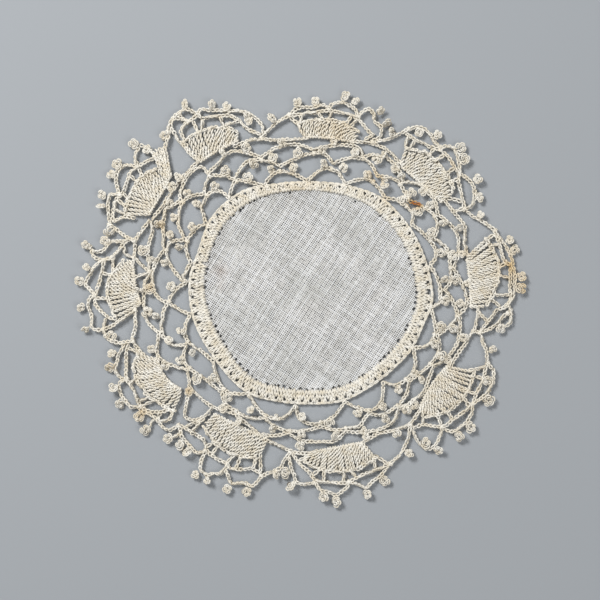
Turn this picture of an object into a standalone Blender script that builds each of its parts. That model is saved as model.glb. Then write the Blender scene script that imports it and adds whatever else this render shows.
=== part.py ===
"""Round lace doily lying flat: a plain-woven linen centre in a deep crocheted cotton edging.

The edging is one openwork sheet, worked outwards from the linen in rounds: a close band, three
rounds of picot arches, a base chain, ten treble fans, a mesh row over the fans and a last round
of picot arches. Each cord is a centreline with a width. The cords, picots, fans and band are
joined in plan, and the joined plan is raised into a sheet with a level underside.

Lengths in the tables are millimetres and angles are degrees, counted anticlockwise from +X about
the middle of the linen. The mesh itself is in metres, +Z up, with the underside on Z = 0.
"""

import math
from collections import namedtuple

import bmesh
import bpy
import numpy as np
from mathutils.geometry import delaunay_2d_cdt

MM = 0.001

# Driving dimensions
LINEN_MIDDLE = (3.75, 2.38)      # middle of the linen, from the middle of the whole outline
CHAIN_WIDTH = 1.65             # a chain of crochet stitches
POST_WIDTH = 1.45              # a post of the mesh row
FOLDED_WIDTH = 2.7             # two chains folded on each other
CORD_EDGE = 1.0                # height of the sheet at any edge
CORD_RIDGE = 1.6               # height along the middle of a chain
PICOT_LENGTH = 3.4
PICOT_WIDTH = 2.9
PICOT_RIDGE = 2.1
FAN_RIB = 2.0                  # height on a fan's treble ribs
FAN_VALLEY = 1.45              # height between them
FAN_RIBS = 6
FAN_RISES = (0.22, 0.78)       # shares of a fan's depth where its ribs are raised
BAND_RIB = 1.7                 # height on each of the band's two rounds of stitches
BAND_VALLEY = 1.25
BAND_ROUNDS = ((0.28, BAND_RIB), (0.5, BAND_VALLEY), (0.74, BAND_RIB))   # share of its width, height
LINEN_THICKNESS = 1.0
HEM_WIDTH = 3.0                # turned hem at the rim of the linen
HEM_THICKNESS = 1.25
PIECE_GAP = 0.3                # clearance between the linen and the band
COTTON_COLOUR = (0.76, 0.68, 0.56)
COTTON_ROUGHNESS = 0.85
LINEN_COLOUR = (0.60, 0.60, 0.57)
LINEN_ROUGHNESS = 0.9

# Fineness of the mesh
RING_STEPS = 3                 # edge points for each row of the band's table
LONG_SPAN = 5.5                # a longer stretch of chain gets a station in its middle
FINE_GAP = 3.0                 # mm2, a smaller hole closes between touching stitches
FINE_CORNER = 0.18             # mm2, an edge point that spans a smaller triangle is left out
RIDGE_CLEARANCE = 0.75         # from a raised point to the next, or to an edge
SAME_POINT = 1e-4              # points nearer to each other than this are one

Ring = namedtuple("Ring", "deg outer inner")
Arch = namedtuple("Arch", "foot rise crown fall picots")
Fan = namedtuple("Fan", "base_start base_middle base_end top_start top_middle top_end")
Post = namedtuple("Post", "top foot")
Edge = namedtuple("Edge", "stations picots")

# The close band: its outer edge, and its inner edge along the pierced rim of the linen
BAND = (
    Ring(0, 40.1, 34.8),
    Ring(25, 39.0, 34.5),
    Ring(50, 39.0, 34.3),
    Ring(70, 37.4, 33.9),
    Ring(90, 36.6, 33.8),
    Ring(108, 37.7, 34.8),
    Ring(124, 40.6, 36.2),
    Ring(142, 41.6, 36.8),
    Ring(160, 40.2, 36.3),
    Ring(178, 41.0, 35.7),
    Ring(200, 40.0, 34.4),
    Ring(230, 39.7, 34.6),
    Ring(250, 38.4, 33.6),
    Ring(280, 37.5, 32.9),
    Ring(300, 37.0, 32.6),
    Ring(325, 37.8, 33.1),
    Ring(344, 38.7, 34.2),
)

# First round of picot arches, each from its foot on the band to the next row's foot
ROUND_1 = (
    Arch((12.6, 40.3), (16.0, 42.7), (22.0, 43.2), (28.5, 41.5), ((16.8, 44.6), (26.4, 44.2))),
    Arch((34.2, 39.8), (37.5, 41.9), (42.0, 42.4), (47.5, 41.6), ((37.4, 44.3), (45.3, 43.0))),
    Arch((52.4, 39.4), (57.0, 41.1), (63.0, 42.0), (68.0, 40.3), ((55.9, 43.0), (64.6, 43.1))),
    Arch((72.5, 37.6), (77.0, 40.3), (82.5, 41.5), (87.0, 39.9), ((75.9, 42.7), (84.7, 42.8))),
    Arch((92.4, 37.0), (98.0, 39.3), (105.0, 41.5), (110.5, 40.7), ((98.4, 41.8), (108.4, 43.0))),
    Arch((113.8, 38.6), (118.5, 41.3), (124.0, 44.5), (128.5, 43.4), ((119.2, 43.5),)),
    Arch((131.6, 41.3), (132.3, 45.0), (137.0, 47.4), (143.3, 45.6), ((132.7, 47.7), (142.5, 48.5))),
    Arch((147.3, 41.8), (151.2, 44.0), (158.0, 44.8), (163.0, 43.6), ((151.7, 45.4), (161.5, 46.5))),
    Arch((166.5, 41.3), (168.5, 42.1), (171.0, 42.2), (173.2, 43.0), ()),
    Arch((175.2, 41.8), (178.7, 44.8), (183.8, 47.7), (187.5, 44.8), ((177.8, 46.8),)),
    Arch((190.4, 41.0), (195.0, 43.5), (201.0, 44.7), (206.6, 42.4), ((196.5, 45.5), (206.6, 44.7))),
    Arch((215.0, 39.9), (220.5, 42.0), (228.0, 43.7), (233.0, 42.4), ((221.1, 43.8), (231.3, 44.8))),
    Arch((237.8, 39.9), (243.5, 42.0), (250.0, 44.1), (257.0, 42.9), ((242.8, 44.2), (254.5, 43.6))),
    Arch((261.7, 38.2), (264.3, 42.3), (270.5, 43.8), (279.0, 42.5), ((265.4, 41.7), (277.6, 44.0))),
    Arch((286.8, 38.2), (291.0, 41.2), (296.5, 44.0), (302.3, 42.8), ((290.6, 43.2), (301.4, 44.8))),
    Arch((308.3, 38.4), (311.8, 41.3), (316.5, 42.7), (324.5, 42.1), ((311.6, 43.4), (321.6, 43.4))),
    Arch((331.0, 38.5), (335.5, 42.2), (341.0, 43.2), (346.5, 41.9), ((337.2, 44.2), (345.0, 44.2))),
    Arch((352.0, 40.0), (355.0, 42.4), (0.0, 42.7), (6.5, 41.6), ((356.3, 44.4), (5.4, 44.2))),
)

# Second round, from crown to crown of the first; it ends short where the cloth has drawn in
ROUND_2 = (
    Arch((184.3, 48.2), (188.5, 50.1), (194.8, 51.8), (200.8, 49.7), ((188.8, 52.5), (198.7, 50.2))),
    Arch((202.6, 45.4), (206.3, 47.6), (211.5, 48.0), (219.0, 46.0), ((207.4, 49.5), (217.2, 48.0))),
    Arch((227.6, 44.7), (231.5, 46.8), (238.0, 47.0), (245.0, 46.5), ((232.7, 48.6), (240.9, 49.3))),
    Arch((249.6, 44.6), (254.0, 46.2), (261.0, 46.9), (267.0, 46.1), ((254.0, 47.3), (265.6, 47.4))),
    Arch((273.8, 44.8), (279.0, 46.5), (284.0, 46.8), (290.0, 46.5), ((279.4, 48.3), (290.3, 49.2))),
    Arch((295.4, 44.6), (299.5, 46.7), (307.0, 47.4), (312.5, 46.3), ((300.0, 48.4),)),
    Arch((317.2, 43.8), (322.5, 45.0), (328.8, 46.1), (336.0, 46.2), ((321.6, 46.7), (333.4, 47.6))),
    Arch((341.0, 44.4), (345.5, 46.7), (350.7, 49.0), (356.0, 47.0), ((345.4, 48.6), (355.6, 49.5))),
    Arch((1.0, 44.0), (4.5, 46.2), (10.0, 46.9), (18.0, 47.0), ((5.0, 47.7), (14.5, 48.3))),
    Arch((24.0, 44.4), (27.0, 46.6), (31.7, 48.0), (38.0, 46.3), ((27.8, 49.0), (36.2, 48.6))),
    Arch((42.8, 44.3), (47.0, 45.2), (52.5, 46.6), (57.0, 45.5), ((45.2, 46.5), (52.6, 48.4))),
    Arch((60.8, 44.2), (64.5, 46.3), (69.0, 47.6), (75.0, 45.9), ((64.0, 48.9), (72.9, 48.5))),
    Arch((80.8, 43.5), (84.0, 45.9), (90.0, 46.0), (98.0, 44.7), ((86.0, 47.3), (96.0, 46.6))),
    Arch((104.3, 43.0), (108.0, 45.6), (115.5, 48.4), (120.3, 47.2), ((106.3, 46.5), (115.0, 46.8))),
    Arch((124.3, 45.2), (127.0, 48.0), (131.3, 51.3), (135.3, 50.1), ((125.5, 49.4),)),
    Arch((137.8, 48.4), (141.0, 51.0), (145.6, 52.3), (152.5, 49.9), ((141.9, 52.9), (151.7, 52.1))),
    Arch((157.9, 45.9), (160.0, 49.2), (164.0, 50.5), (170.0, 47.4), ((158.3, 50.8), (168.8, 49.9))),
)
ROUND_2_END = (174.8, 43.3)

# Third round, from crown to crown of the second
ROUND_3 = (
    Arch((195.0, 52.6), (198.5, 54.4), (202.5, 55.4), (207.5, 52.7), ((199.5, 56.6), (206.4, 54.5))),
    Arch((212.3, 49.0), (216.0, 50.6), (219.8, 51.4), (229.0, 50.4), ((218.9, 52.6),)),
    Arch((237.7, 48.0), (243.5, 48.9), (251.0, 50.2), (256.8, 48.9), ()),
    Arch((261.0, 47.6), (266.0, 49.4), (272.0, 49.9), (278.5, 50.1), ((265.5, 51.3),)),
    Arch((283.8, 47.5), (289.0, 49.3), (296.0, 50.9), (302.3, 50.5), ((290.5, 51.3),)),
    Arch((306.9, 48.0), (311.0, 49.0), (318.0, 49.6), (323.5, 48.3), ((308.6, 50.2), (312.1, 50.4))),
    Arch((328.6, 47.0), (332.5, 49.3), (340.0, 51.3), (346.0, 50.7), ((333.3, 50.8), (343.3, 52.7))),
    Arch((350.5, 49.6), (354.5, 51.3), (358.8, 51.4), (3.5, 49.9), ((3.2, 51.8),)),
    Arch((9.7, 47.7), (14.5, 50.0), (20.5, 51.8), (27.0, 51.0), ((14.3, 51.4), (23.8, 53.0))),
    Arch((31.8, 48.7), (35.5, 50.7), (40.5, 50.9), (46.2, 50.0), ((42.4, 49.7),)),
    Arch((50.4, 47.2), (55.5, 50.2), (61.0, 51.0), (66.0, 49.9), ((56.2, 49.6), (62.0, 51.4))),
    Arch((69.0, 48.2), (72.0, 50.5), (77.5, 49.9), (83.5, 48.8), ((72.9, 48.6), (81.7, 50.3))),
    Arch((89.7, 47.4), (93.5, 48.5), (98.5, 49.8), (104.5, 49.1), ((101.5, 50.3),)),
    Arch((110.5, 48.0), (115.7, 51.3), (120.3, 54.0), (126.0, 53.0), ((114.5, 52.3), (122.7, 54.8))),
    Arch((131.4, 52.3), (131.6, 55.3), (136.0, 56.7), (141.8, 55.3), ()),
    Arch((145.3, 53.2), (148.5, 54.8), (151.0, 56.0), (157.0, 53.8), ((148.3, 55.7), (156.0, 55.6))),
    Arch((164.2, 51.3), (168.5, 52.7), (175.0, 53.2), (181.5, 51.6), ((168.6, 53.9), (178.8, 53.7))),
)
ROUND_3_END = (184.4, 48.6)

# Base chain between one fan and the next; each row ends at its own last point
BASE_CHAIN = (
    ((12.5, 53.0), (18.0, 53.3), (23.5, 55.2), (28.5, 54.4), (34.5, 53.4)),
    ((54.0, 51.4), (58.5, 52.8), (64.0, 53.5), (70.0, 53.0), (75.0, 51.6)),
    ((91.0, 51.3), (97.5, 51.0), (104.0, 52.2), (111.0, 54.1), (118.0, 55.0)),
    ((130.2, 57.8), (135.0, 57.5), (140.5, 57.4), (148.0, 57.3), (155.5, 58.2)),
    ((155.8, 59.2), (160.5, 60.1), (164.0, 61.2), (167.5, 60.4), (170.8, 60.2)),
    ((169.3, 59.9), (170.7, 57.8), (172.0, 56.0), (173.3, 54.0)),
    ((156.0, 58.6), (159.5, 56.9), (164.0, 56.4), (169.0, 55.6), (173.3, 54.1)),
    ((173.2, 54.0), (177.0, 55.6), (184.0, 56.0), (190.5, 55.4), (195.2, 52.6)),
    ((173.3, 54.0), (174.3, 57.0), (175.3, 59.2)),
    ((185.0, 58.7), (190.0, 59.7), (195.0, 61.6), (198.0, 60.8), (200.8, 60.0)),
    ((202.5, 55.3), (204.0, 56.8)),
    ((219.3, 52.6), (221.7, 56.0), (224.5, 59.3), (228.2, 57.0), (229.3, 51.2)),
    ((252.5, 51.6), (258.0, 52.2), (264.0, 53.7), (268.5, 53.5), (273.0, 52.8)),
    ((288.0, 52.8), (295.0, 52.2), (301.0, 53.4), (306.5, 54.4), (312.5, 53.4)),
    ((331.0, 52.0), (337.5, 52.8), (344.0, 54.5), (349.0, 55.5), (354.8, 55.4)),
)
BASE_PICOTS = ((139.3, 58.5), (143.2, 58.4), (166.1, 57.8), (179.4, 57.3), (187.0, 55.0), (301.0, 54.4))

# Ten treble fans, each from its base round to its wider top, start to end anticlockwise
FANS = (
    Fan((354.3, 53.0), (3.5, 52.5), (12.2, 52.6), (355.3, 58.0), (6.5, 62.6), (17.0, 60.2)),
    Fan((34.5, 52.3), (44.5, 51.2), (54.5, 51.1), (35.0, 57.2), (45.5, 60.0), (57.0, 57.0)),
    Fan((74.0, 51.6), (83.0, 51.5), (92.3, 51.6), (70.8, 55.2), (83.0, 57.5), (95.2, 56.3)),
    Fan((116.0, 56.0), (123.5, 56.4), (130.8, 57.0), (114.8, 58.8), (121.5, 64.0), (130.8, 65.8)),
    Fan((142.3, 60.2), (148.5, 59.8), (154.7, 60.0), (141.3, 65.8), (149.0, 68.8), (157.5, 67.2)),
    Fan((170.7, 60.3), (177.5, 58.8), (184.2, 57.0), (170.3, 63.2), (178.0, 68.0), (187.6, 66.0)),
    Fan((203.3, 55.8), (210.0, 56.4), (216.6, 54.2), (199.2, 61.2), (208.0, 65.2), (220.6, 60.8)),
    Fan((231.3, 51.9), (241.0, 50.7), (253.0, 50.9), (230.7, 57.3), (242.0, 60.1), (252.2, 57.5)),
    Fan((269.8, 53.5), (280.0, 52.2), (288.6, 52.9), (266.8, 56.3), (279.5, 60.5), (291.2, 59.0)),
    Fan((312.5, 52.8), (321.5, 50.4), (331.4, 51.3), (311.8, 55.7), (322.0, 60.9), (334.0, 60.2)),
)

# Chains of the mesh row over the fans, in order round the doily
MESH_CHAINS = (
    ((346.6, 57.5), (350.5, 59.3), (354.3, 61.7), (355.6, 64.5), (358.0, 66.1), (2.0, 65.7), (7.6, 66.7)),
    ((7.6, 66.7), (9.5, 64.8), (13.5, 64.6), (18.4, 63.8)),
    ((28.7, 57.7), (32.5, 59.0), (36.5, 60.8), (38.7, 62.6), (42.0, 63.3), (47.0, 63.6), (51.0, 62.3),
     (56.0, 61.3), (59.2, 61.2)),
    ((68.2, 56.1), (71.0, 56.9), (74.0, 58.8), (76.0, 60.0), (81.0, 60.5), (86.0, 60.3), (91.0, 59.6),
     (97.5, 59.0)),
    ((108.0, 55.2), (110.8, 57.3), (112.6, 60.5), (113.2, 62.7), (115.3, 64.8), (118.5, 66.5),
     (122.4, 68.2)),
    ((113.0, 61.5), (115.0, 62.0), (117.5, 62.3)),
    ((122.4, 68.2), (122.6, 70.1), (125.0, 69.8), (127.3, 69.8), (129.3, 68.7), (130.0, 65.8)),
    ((139.5, 69.0), (142.0, 70.2), (144.3, 71.2), (146.5, 72.2), (149.5, 71.6), (153.0, 71.2),
     (154.5, 72.0), (157.5, 71.3), (160.5, 70.0), (158.3, 67.3), (157.3, 64.0)),
    ((163.8, 61.3), (164.2, 63.8), (167.0, 65.2), (170.0, 67.3), (171.3, 69.8), (174.5, 70.3),
     (178.5, 71.0), (182.0, 72.3), (185.0, 70.8), (187.2, 68.3), (187.7, 65.8)),
    ((195.5, 63.5), (198.0, 65.0), (201.5, 66.3), (205.3, 68.2), (209.0, 67.8), (213.5, 68.6),
     (216.5, 66.8), (218.2, 64.3), (219.6, 61.5)),
    ((225.3, 62.7), (229.0, 61.3), (234.0, 61.2), (236.5, 63.3), (240.0, 63.7), (243.5, 63.8),
     (245.3, 64.8), (248.5, 63.3), (251.3, 61.5), (251.5, 58.3)),
    ((262.6, 54.0), (266.0, 57.3), (269.0, 59.7), (270.8, 62.5), (275.0, 63.5), (279.5, 64.4),
     (283.0, 63.6), (287.0, 63.0), (291.0, 63.0), (294.4, 62.7)),
    ((306.6, 54.4), (307.0, 56.3), (309.8, 57.4), (312.0, 60.0), (314.0, 61.8), (316.5, 63.0),
     (321.0, 64.0), (325.0, 65.0), (329.0, 64.2), (333.0, 63.7), (337.5, 63.0)),
)

# Posts of the mesh row, from the chain down to a fan or to the base chain
MESH_POSTS = (
    Post((346.4, 57.6), (346.4, 54.9)), Post((350.5, 59.2), (353.2, 55.6)),
    Post((355.5, 63.0), (357.8, 60.0)), Post((359.1, 65.8), (359.1, 61.3)),
    Post((4.2, 65.6), (5.2, 62.0)), Post((8.7, 65.4), (7.0, 62.0)),
    Post((14.7, 64.4), (14.4, 61.5)), Post((17.5, 64.0), (16.8, 60.0)),
    Post((28.8, 57.6), (29.3, 54.2)), Post((31.3, 58.5), (34.4, 55.0)),
    Post((37.8, 61.6), (38.3, 58.6)), Post((41.2, 63.1), (41.2, 59.3)),
    Post((46.0, 63.5), (46.6, 59.7)), Post((49.4, 62.8), (49.5, 59.5)),
    Post((55.9, 61.3), (55.9, 57.4)), Post((58.6, 61.2), (56.9, 56.5)),
    Post((68.6, 56.2), (70.8, 53.8)), Post((75.6, 59.6), (76.8, 56.8)),
    Post((77.4, 60.2), (78.4, 57.0)), Post((83.8, 60.3), (84.9, 57.3)),
    Post((87.8, 59.9), (86.2, 57.2)), Post((93.3, 59.3), (93.5, 56.3)),
    Post((97.2, 58.8), (94.3, 55.0)),
    Post((117.8, 66.2), (117.9, 62.2)), Post((122.5, 68.2), (124.5, 64.8)),
    Post((124.9, 69.8), (125.4, 65.0)),
    Post((144.3, 71.2), (145.9, 68.0)), Post((147.4, 72.1), (148.0, 68.3)),
    Post((152.3, 71.2), (153.5, 68.0)), Post((154.9, 72.0), (155.1, 67.8)),
    Post((157.3, 71.3), (157.4, 66.9)),
    Post((166.0, 64.6), (168.6, 63.4)), Post((168.6, 63.4), (169.3, 59.9)),
    Post((170.0, 67.3), (174.4, 66.6)), Post((171.0, 69.6), (170.2, 66.9)),
    Post((174.9, 70.4), (175.1, 66.9)), Post((181.7, 72.1), (182.0, 67.7)),
    Post((187.0, 69.2), (190.4, 70.6)),
    Post((196.8, 64.3), (199.6, 61.0)),
    Post((206.5, 68.2), (206.4, 64.6)), Post((212.2, 68.2), (212.9, 64.1)),
    Post((214.0, 68.3), (214.4, 63.7)),
    Post((226.3, 62.0), (229.0, 56.6)), Post((229.2, 61.3), (229.4, 55.6)),
    Post((235.7, 62.6), (237.2, 59.1)), Post((238.5, 63.6), (238.4, 59.4)),
    Post((243.3, 63.8), (244.6, 59.8)), Post((246.8, 64.2), (246.5, 59.6)),
    Post((250.8, 61.9), (254.6, 62.9)), Post((254.3, 62.8), (252.3, 56.8)),
    Post((265.5, 56.8), (268.6, 54.6)), Post((270.2, 61.2), (273.2, 58.4)),
    Post((273.6, 63.2), (273.9, 58.8)), Post((279.0, 64.3), (280.4, 60.2)),
    Post((283.3, 63.6), (281.9, 60.1)), Post((289.8, 63.0), (290.3, 59.0)),
    Post((294.1, 62.8), (290.8, 58.4)),
    Post((309.9, 57.5), (312.4, 54.6)), Post((318.0, 63.4), (318.1, 59.0)),
    Post((313.9, 61.7), (315.6, 58.4)), Post((323.9, 64.8), (325.5, 60.5)),
    Post((328.0, 64.5), (327.2, 60.5)), Post((333.0, 63.7), (332.5, 60.2)),
    Post((337.0, 63.1), (333.6, 58.6)),
)

# Last round: picot arches over the mesh row, each with its picots
OUTER_ARCHES = (
    Edge(((346.3, 57.6), (348.2, 60.3), (350.5, 62.6), (352.8, 63.9), (353.8, 65.6)),
         ()),
    Edge(((349.4, 63.8), (350.3, 65.7), (352.5, 66.8), (354.8, 66.3), (356.0, 65.0)),
         ((349.2, 63.8),)),
    Edge(((356.0, 65.0), (359.0, 67.0), (4.5, 67.6), (12.0, 66.7), (18.6, 64.2)),
         ((0.9, 69.5), (4.2, 69.9), (11.7, 68.8), (14.7, 68.0))),
    Edge(((18.6, 64.2), (21.5, 62.0), (24.5, 59.5), (26.5, 58.3), (28.5, 57.5)),
         ((24.6, 61.6),)),
    Edge(((28.3, 57.6), (29.0, 61.0), (33.0, 64.3), (36.3, 63.9), (38.6, 62.8)),
         ((29.5, 64.0), (34.3, 66.5))),
    Edge(((38.4, 62.9), (41.0, 64.8), (45.3, 66.8), (47.3, 65.8), (48.2, 63.8)),
         ((41.0, 67.2), (44.0, 68.9))),
    Edge(((47.8, 64.3), (50.5, 64.3), (54.5, 65.7), (57.5, 65.2), (59.3, 63.0)),
         ((51.4, 67.0), (56.0, 63.8))),
    Edge(((59.3, 63.0), (61.3, 59.7), (63.3, 57.1), (65.5, 55.2), (68.2, 53.6)),
         ((63.6, 59.2),)),
    Edge(((68.2, 54.0), (66.4, 56.6), (67.9, 59.2), (70.2, 60.6), (70.6, 62.7), (73.0, 63.6), (75.2, 60.3)),
         ((66.1, 61.2), (69.3, 64.4))),
    Edge(((75.2, 60.3), (76.8, 62.3), (81.0, 63.3), (83.7, 62.7), (84.8, 60.8)),
         ((77.3, 65.0), (80.1, 65.9))),
    Edge(((84.7, 61.0), (86.3, 62.1), (90.0, 61.4), (94.3, 61.4), (97.5, 59.1)),
         ((88.9, 63.5), (94.4, 63.4))),
    Edge(((97.5, 59.1), (100.5, 57.9), (103.0, 56.7), (105.5, 55.5), (108.2, 53.8)),
         ((103.0, 59.2),)),
    Edge(((107.2, 55.0), (106.9, 58.4), (108.5, 62.0), (111.5, 64.4), (114.8, 66.2)),
         ((110.3, 60.6), (110.1, 62.6))),
    Edge(((114.8, 66.2), (117.0, 67.8), (119.5, 69.5), (121.3, 71.1), (122.8, 70.1)),
         ((114.6, 67.8), (118.0, 70.6))),
    Edge(((122.6, 70.1), (123.7, 72.5), (125.5, 74.1), (126.9, 73.0), (126.1, 69.9)),
         ((124.1, 75.3),)),
    Edge(((126.1, 69.9), (127.3, 72.6), (129.0, 73.6), (130.6, 72.0), (131.3, 68.0),
          (131.4, 64.0), (131.2, 60.5), (130.8, 57.5)),
         ()),
    Edge(((126.0, 74.2), (129.0, 73.9), (131.3, 72.4), (133.4, 69.7), (137.2, 67.8)),
         ((133.4, 71.4),)),
    Edge(((139.9, 75.0), (141.5, 74.7), (142.8, 73.7), (144.4, 71.4)),
         ((140.3, 77.0),)),
    Edge(((144.4, 71.6), (145.8, 75.0), (148.3, 76.0), (151.0, 74.6), (153.2, 71.4)),
         ((146.8, 77.4), (149.6, 77.4))),
    Edge(((153.0, 71.8), (154.3, 74.8), (156.3, 74.1), (159.0, 72.5), (161.5, 71.0)),
         ((155.1, 76.9), (158.0, 75.6))),
    Edge(((161.5, 71.0), (162.0, 69.0), (163.0, 66.3), (163.6, 64.0), (163.8, 61.3)),
         ((163.3, 70.4),)),
    Edge(((164.2, 63.8), (165.3, 66.5), (166.2, 69.0), (168.7, 70.8), (169.5, 73.3), (168.6, 75.3)),
         ((166.1, 70.8), (168.3, 76.8))),
    Edge(((169.2, 74.7), (170.6, 73.6), (171.2, 71.5), (171.3, 69.6)),
         ()),
    Edge(((171.3, 70.6), (174.0, 73.3), (177.8, 75.3), (179.3, 73.9), (181.0, 72.3)),
         ((173.9, 75.3), (177.3, 77.4))),
    Edge(((180.8, 72.7), (182.5, 74.2), (187.0, 73.6), (189.6, 73.0), (190.4, 70.4)),
         ((183.8, 77.0), (189.2, 76.2))),
    Edge(((190.3, 70.6), (192.4, 69.9), (194.0, 68.0), (195.1, 65.3), (195.3, 61.5)),
         ((192.3, 68.3),)),
    Edge(((190.2, 70.6), (189.5, 67.0), (188.0, 63.3), (185.8, 59.0)),
         ()),
    Edge(((195.4, 64.6), (198.5, 67.8), (202.0, 70.2), (204.0, 69.7), (205.4, 68.0)),
         ((197.1, 69.7), (200.4, 72.0))),
    Edge(((205.2, 68.3), (205.8, 71.3), (209.0, 72.1), (212.3, 71.1), (213.8, 68.5)),
         ((205.9, 73.3), (210.2, 73.8))),
    Edge(((213.7, 68.8), (216.0, 67.9), (219.8, 66.9), (223.5, 66.4), (225.1, 62.6)),
         ((215.9, 71.0), (219.7, 71.8))),
    Edge(((218.3, 64.4), (220.0, 66.4), (221.7, 63.6), (220.6, 60.4)),
         ()),
    Edge(((225.3, 62.7), (228.0, 64.4), (232.0, 65.4), (234.5, 65.9), (236.2, 63.4)),
         ((225.4, 68.4), (229.0, 67.0), (232.1, 67.6))),
    Edge(((236.2, 63.4), (236.9, 67.5), (239.5, 69.4), (242.6, 68.0), (244.0, 64.2)),
         ((237.4, 71.8), (240.8, 71.7))),
    Edge(((243.8, 65.5), (246.0, 67.6), (248.3, 68.3), (251.0, 67.0), (253.2, 66.7), (254.7, 63.3)),
         ((246.8, 71.2), (252.0, 69.9))),
    Edge(((254.6, 63.3), (257.0, 61.8), (259.0, 59.3), (260.5, 56.5), (262.5, 53.8)),
         ((258.9, 61.8), (261.6, 60.6))),
    Edge(((262.4, 55.2), (263.2, 59.0), (265.2, 62.5), (267.5, 63.8), (270.8, 63.4)),
         ((263.9, 64.8),)),
    Edge(((270.8, 63.2), (272.5, 65.7), (277.0, 66.7), (280.0, 66.3), (281.2, 64.2)),
         ((273.2, 68.3), (276.6, 70.0))),
    Edge(((281.0, 64.6), (284.0, 65.8), (286.5, 66.3), (290.5, 64.9), (294.6, 62.9)),
         ((285.4, 69.8), (291.0, 67.3))),
    Edge(((294.5, 62.9), (298.5, 61.5), (301.5, 59.3), (303.7, 57.7), (306.6, 54.8)),
         ((300.9, 62.6),)),
    Edge(((306.4, 55.4), (305.3, 61.0), (306.5, 65.0), (310.5, 64.8), (313.8, 62.2)),
         ((307.1, 62.8), (308.8, 67.4))),
    Edge(((313.8, 62.2), (315.3, 65.8), (319.5, 66.8), (323.0, 66.5), (325.0, 65.0)),
         ((315.6, 68.5), (319.7, 69.4))),
    Edge(((324.9, 65.0), (328.5, 66.7), (333.0, 67.1), (336.5, 65.8), (338.0, 63.0)),
         ((328.4, 68.9), (333.3, 65.4))),
    Edge(((338.0, 63.0), (340.5, 61.5), (342.5, 60.0), (344.5, 58.8), (346.5, 57.3)),
         ((342.5, 62.8),)),
)

# Chains folded on each other: the drawn-in side of the fifth fan and the loop above it
FOLDED_CHAINS = (
    ((137.0, 68.2), (138.3, 65.3), (140.0, 62.6), (142.3, 60.3)),
    ((139.1, 67.8), (138.9, 71.5), (139.4, 75.0)),
)


def place(deg, radius):
    """A bearing and a radius about the middle of the linen, as a point in plan."""
    angle = math.radians(deg)
    return np.array((LINEN_MIDDLE[0] + radius * math.cos(angle), LINEN_MIDDLE[1] + radius * math.sin(angle)))


def smooth(stations, closed=False, steps=None):
    """Catmull-Rom curve through the stations; a short span stays one step, a long one is halved."""
    points = [np.array(p, dtype=float) for p in stations]
    count = len(points)
    spans = count if closed else count - 1
    curve = []
    for i in range(spans):
        a, b = points[i], points[(i + 1) % count]
        before = points[i - 1] if closed or i > 0 else a
        after = points[(i + 2) % count] if closed or i + 2 < count else b
        pieces = steps or (2 if np.linalg.norm(b - a) > LONG_SPAN else 1)
        for t in np.arange(pieces) / pieces:
            curve.append(0.5 * (2 * a + (b - before) * t + (2 * before - 5 * a + 4 * b - after) * t ** 2
                                + (3 * a - 3 * b + after - before) * t ** 3))
    if not closed:
        curve.append(points[-1])
    return np.array(curve)


def cord_sections(path, width):
    """Left and right edge points of a cord, with mitred bends and ends run on by a quarter width."""
    steps = np.diff(path, axis=0)
    along = steps / np.linalg.norm(steps, axis=1)[:, None]
    tangent = np.vstack((along[:1], along[:-1] + along[1:], along[-1:]))
    tangent /= np.linalg.norm(tangent, axis=1)[:, None]
    across = np.column_stack((-tangent[:, 1], tangent[:, 0]))
    turn = np.concatenate(([1.0], np.sum(tangent[1:-1] * along[:-1], axis=1), [1.0]))
    reach = 0.5 * width / np.maximum(turn, 0.75)
    middle = path.copy()
    middle[0] -= along[0] * width / 4
    middle[-1] += along[-1] * width / 4
    return middle + across * reach[:, None], middle - across * reach[:, None]


def nearest_on(path, point):
    """The point of the path that lies nearest to the given one."""
    starts, span = path[:-1], np.diff(path, axis=0)
    share = np.clip(np.sum((point - starts) * span, axis=1) / np.sum(span * span, axis=1), 0, 1)
    feet = starts + share[:, None] * span
    return feet[np.argmin(np.linalg.norm(feet - point, axis=1))]


class Plan:
    """The edging in plan: outlines that are joined, and raised points with their heights."""

    def __init__(self):
        self.outlines = []
        self.raised = []

    def add_cord(self, path, width, ridge=CORD_RIDGE):
        left, right = cord_sections(path, width)
        for i in range(len(path) - 1):
            self.outlines.append((left[i], right[i], right[i + 1], left[i + 1]))
        self.raised += [(x, y, ridge) for x, y in path]

    def add_picot(self, centre, path):
        """A small round of chain that stands on its cord, away from the nearest point of it."""
        centre = place(*centre)
        root = nearest_on(path, centre)
        out = centre - root
        distance = np.linalg.norm(out)
        out = out / distance
        side = np.array((-out[1], out[0]))
        half_length, half_width = out * PICOT_LENGTH / 2, side * PICOT_WIDTH / 2
        turns = np.radians(np.arange(0, 360, 60))
        self.outlines.append([centre + half_length * math.cos(t) + half_width * math.sin(t) for t in turns])
        self.raised.append((*centre, PICOT_RIDGE))
        if distance > PICOT_LENGTH / 2:
            self.add_cord(np.array((root, centre)), POST_WIDTH)

    def add_fan(self, fan):
        """A fan of trebles: a base and a top, each bowed through three stations, and ribs between."""
        shares = np.linspace(0, 1, 2 * FAN_RIBS + 1)
        base = bowed(fan.base_start, fan.base_middle, fan.base_end, shares)
        top = bowed(fan.top_start, fan.top_middle, fan.top_end, shares)
        self.outlines.append(tuple(base[::2]) + tuple(top[::-2]))
        for i in range(len(shares)):
            for rise in FAN_RISES:
                height = FAN_RIB if i % 2 else FAN_VALLEY
                self.raised.append((*(base[i] + (top[i] - base[i]) * rise), height))


def bowed(start, middle, end, shares):
    """Points on the parabola through three stations."""
    a, b, c = place(*start), place(*middle), place(*end)
    t = np.asarray(shares)[:, None]
    return a * (1 - t) * (1 - 2 * t) + b * 4 * t * (1 - t) + c * t * (2 * t - 1)


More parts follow.
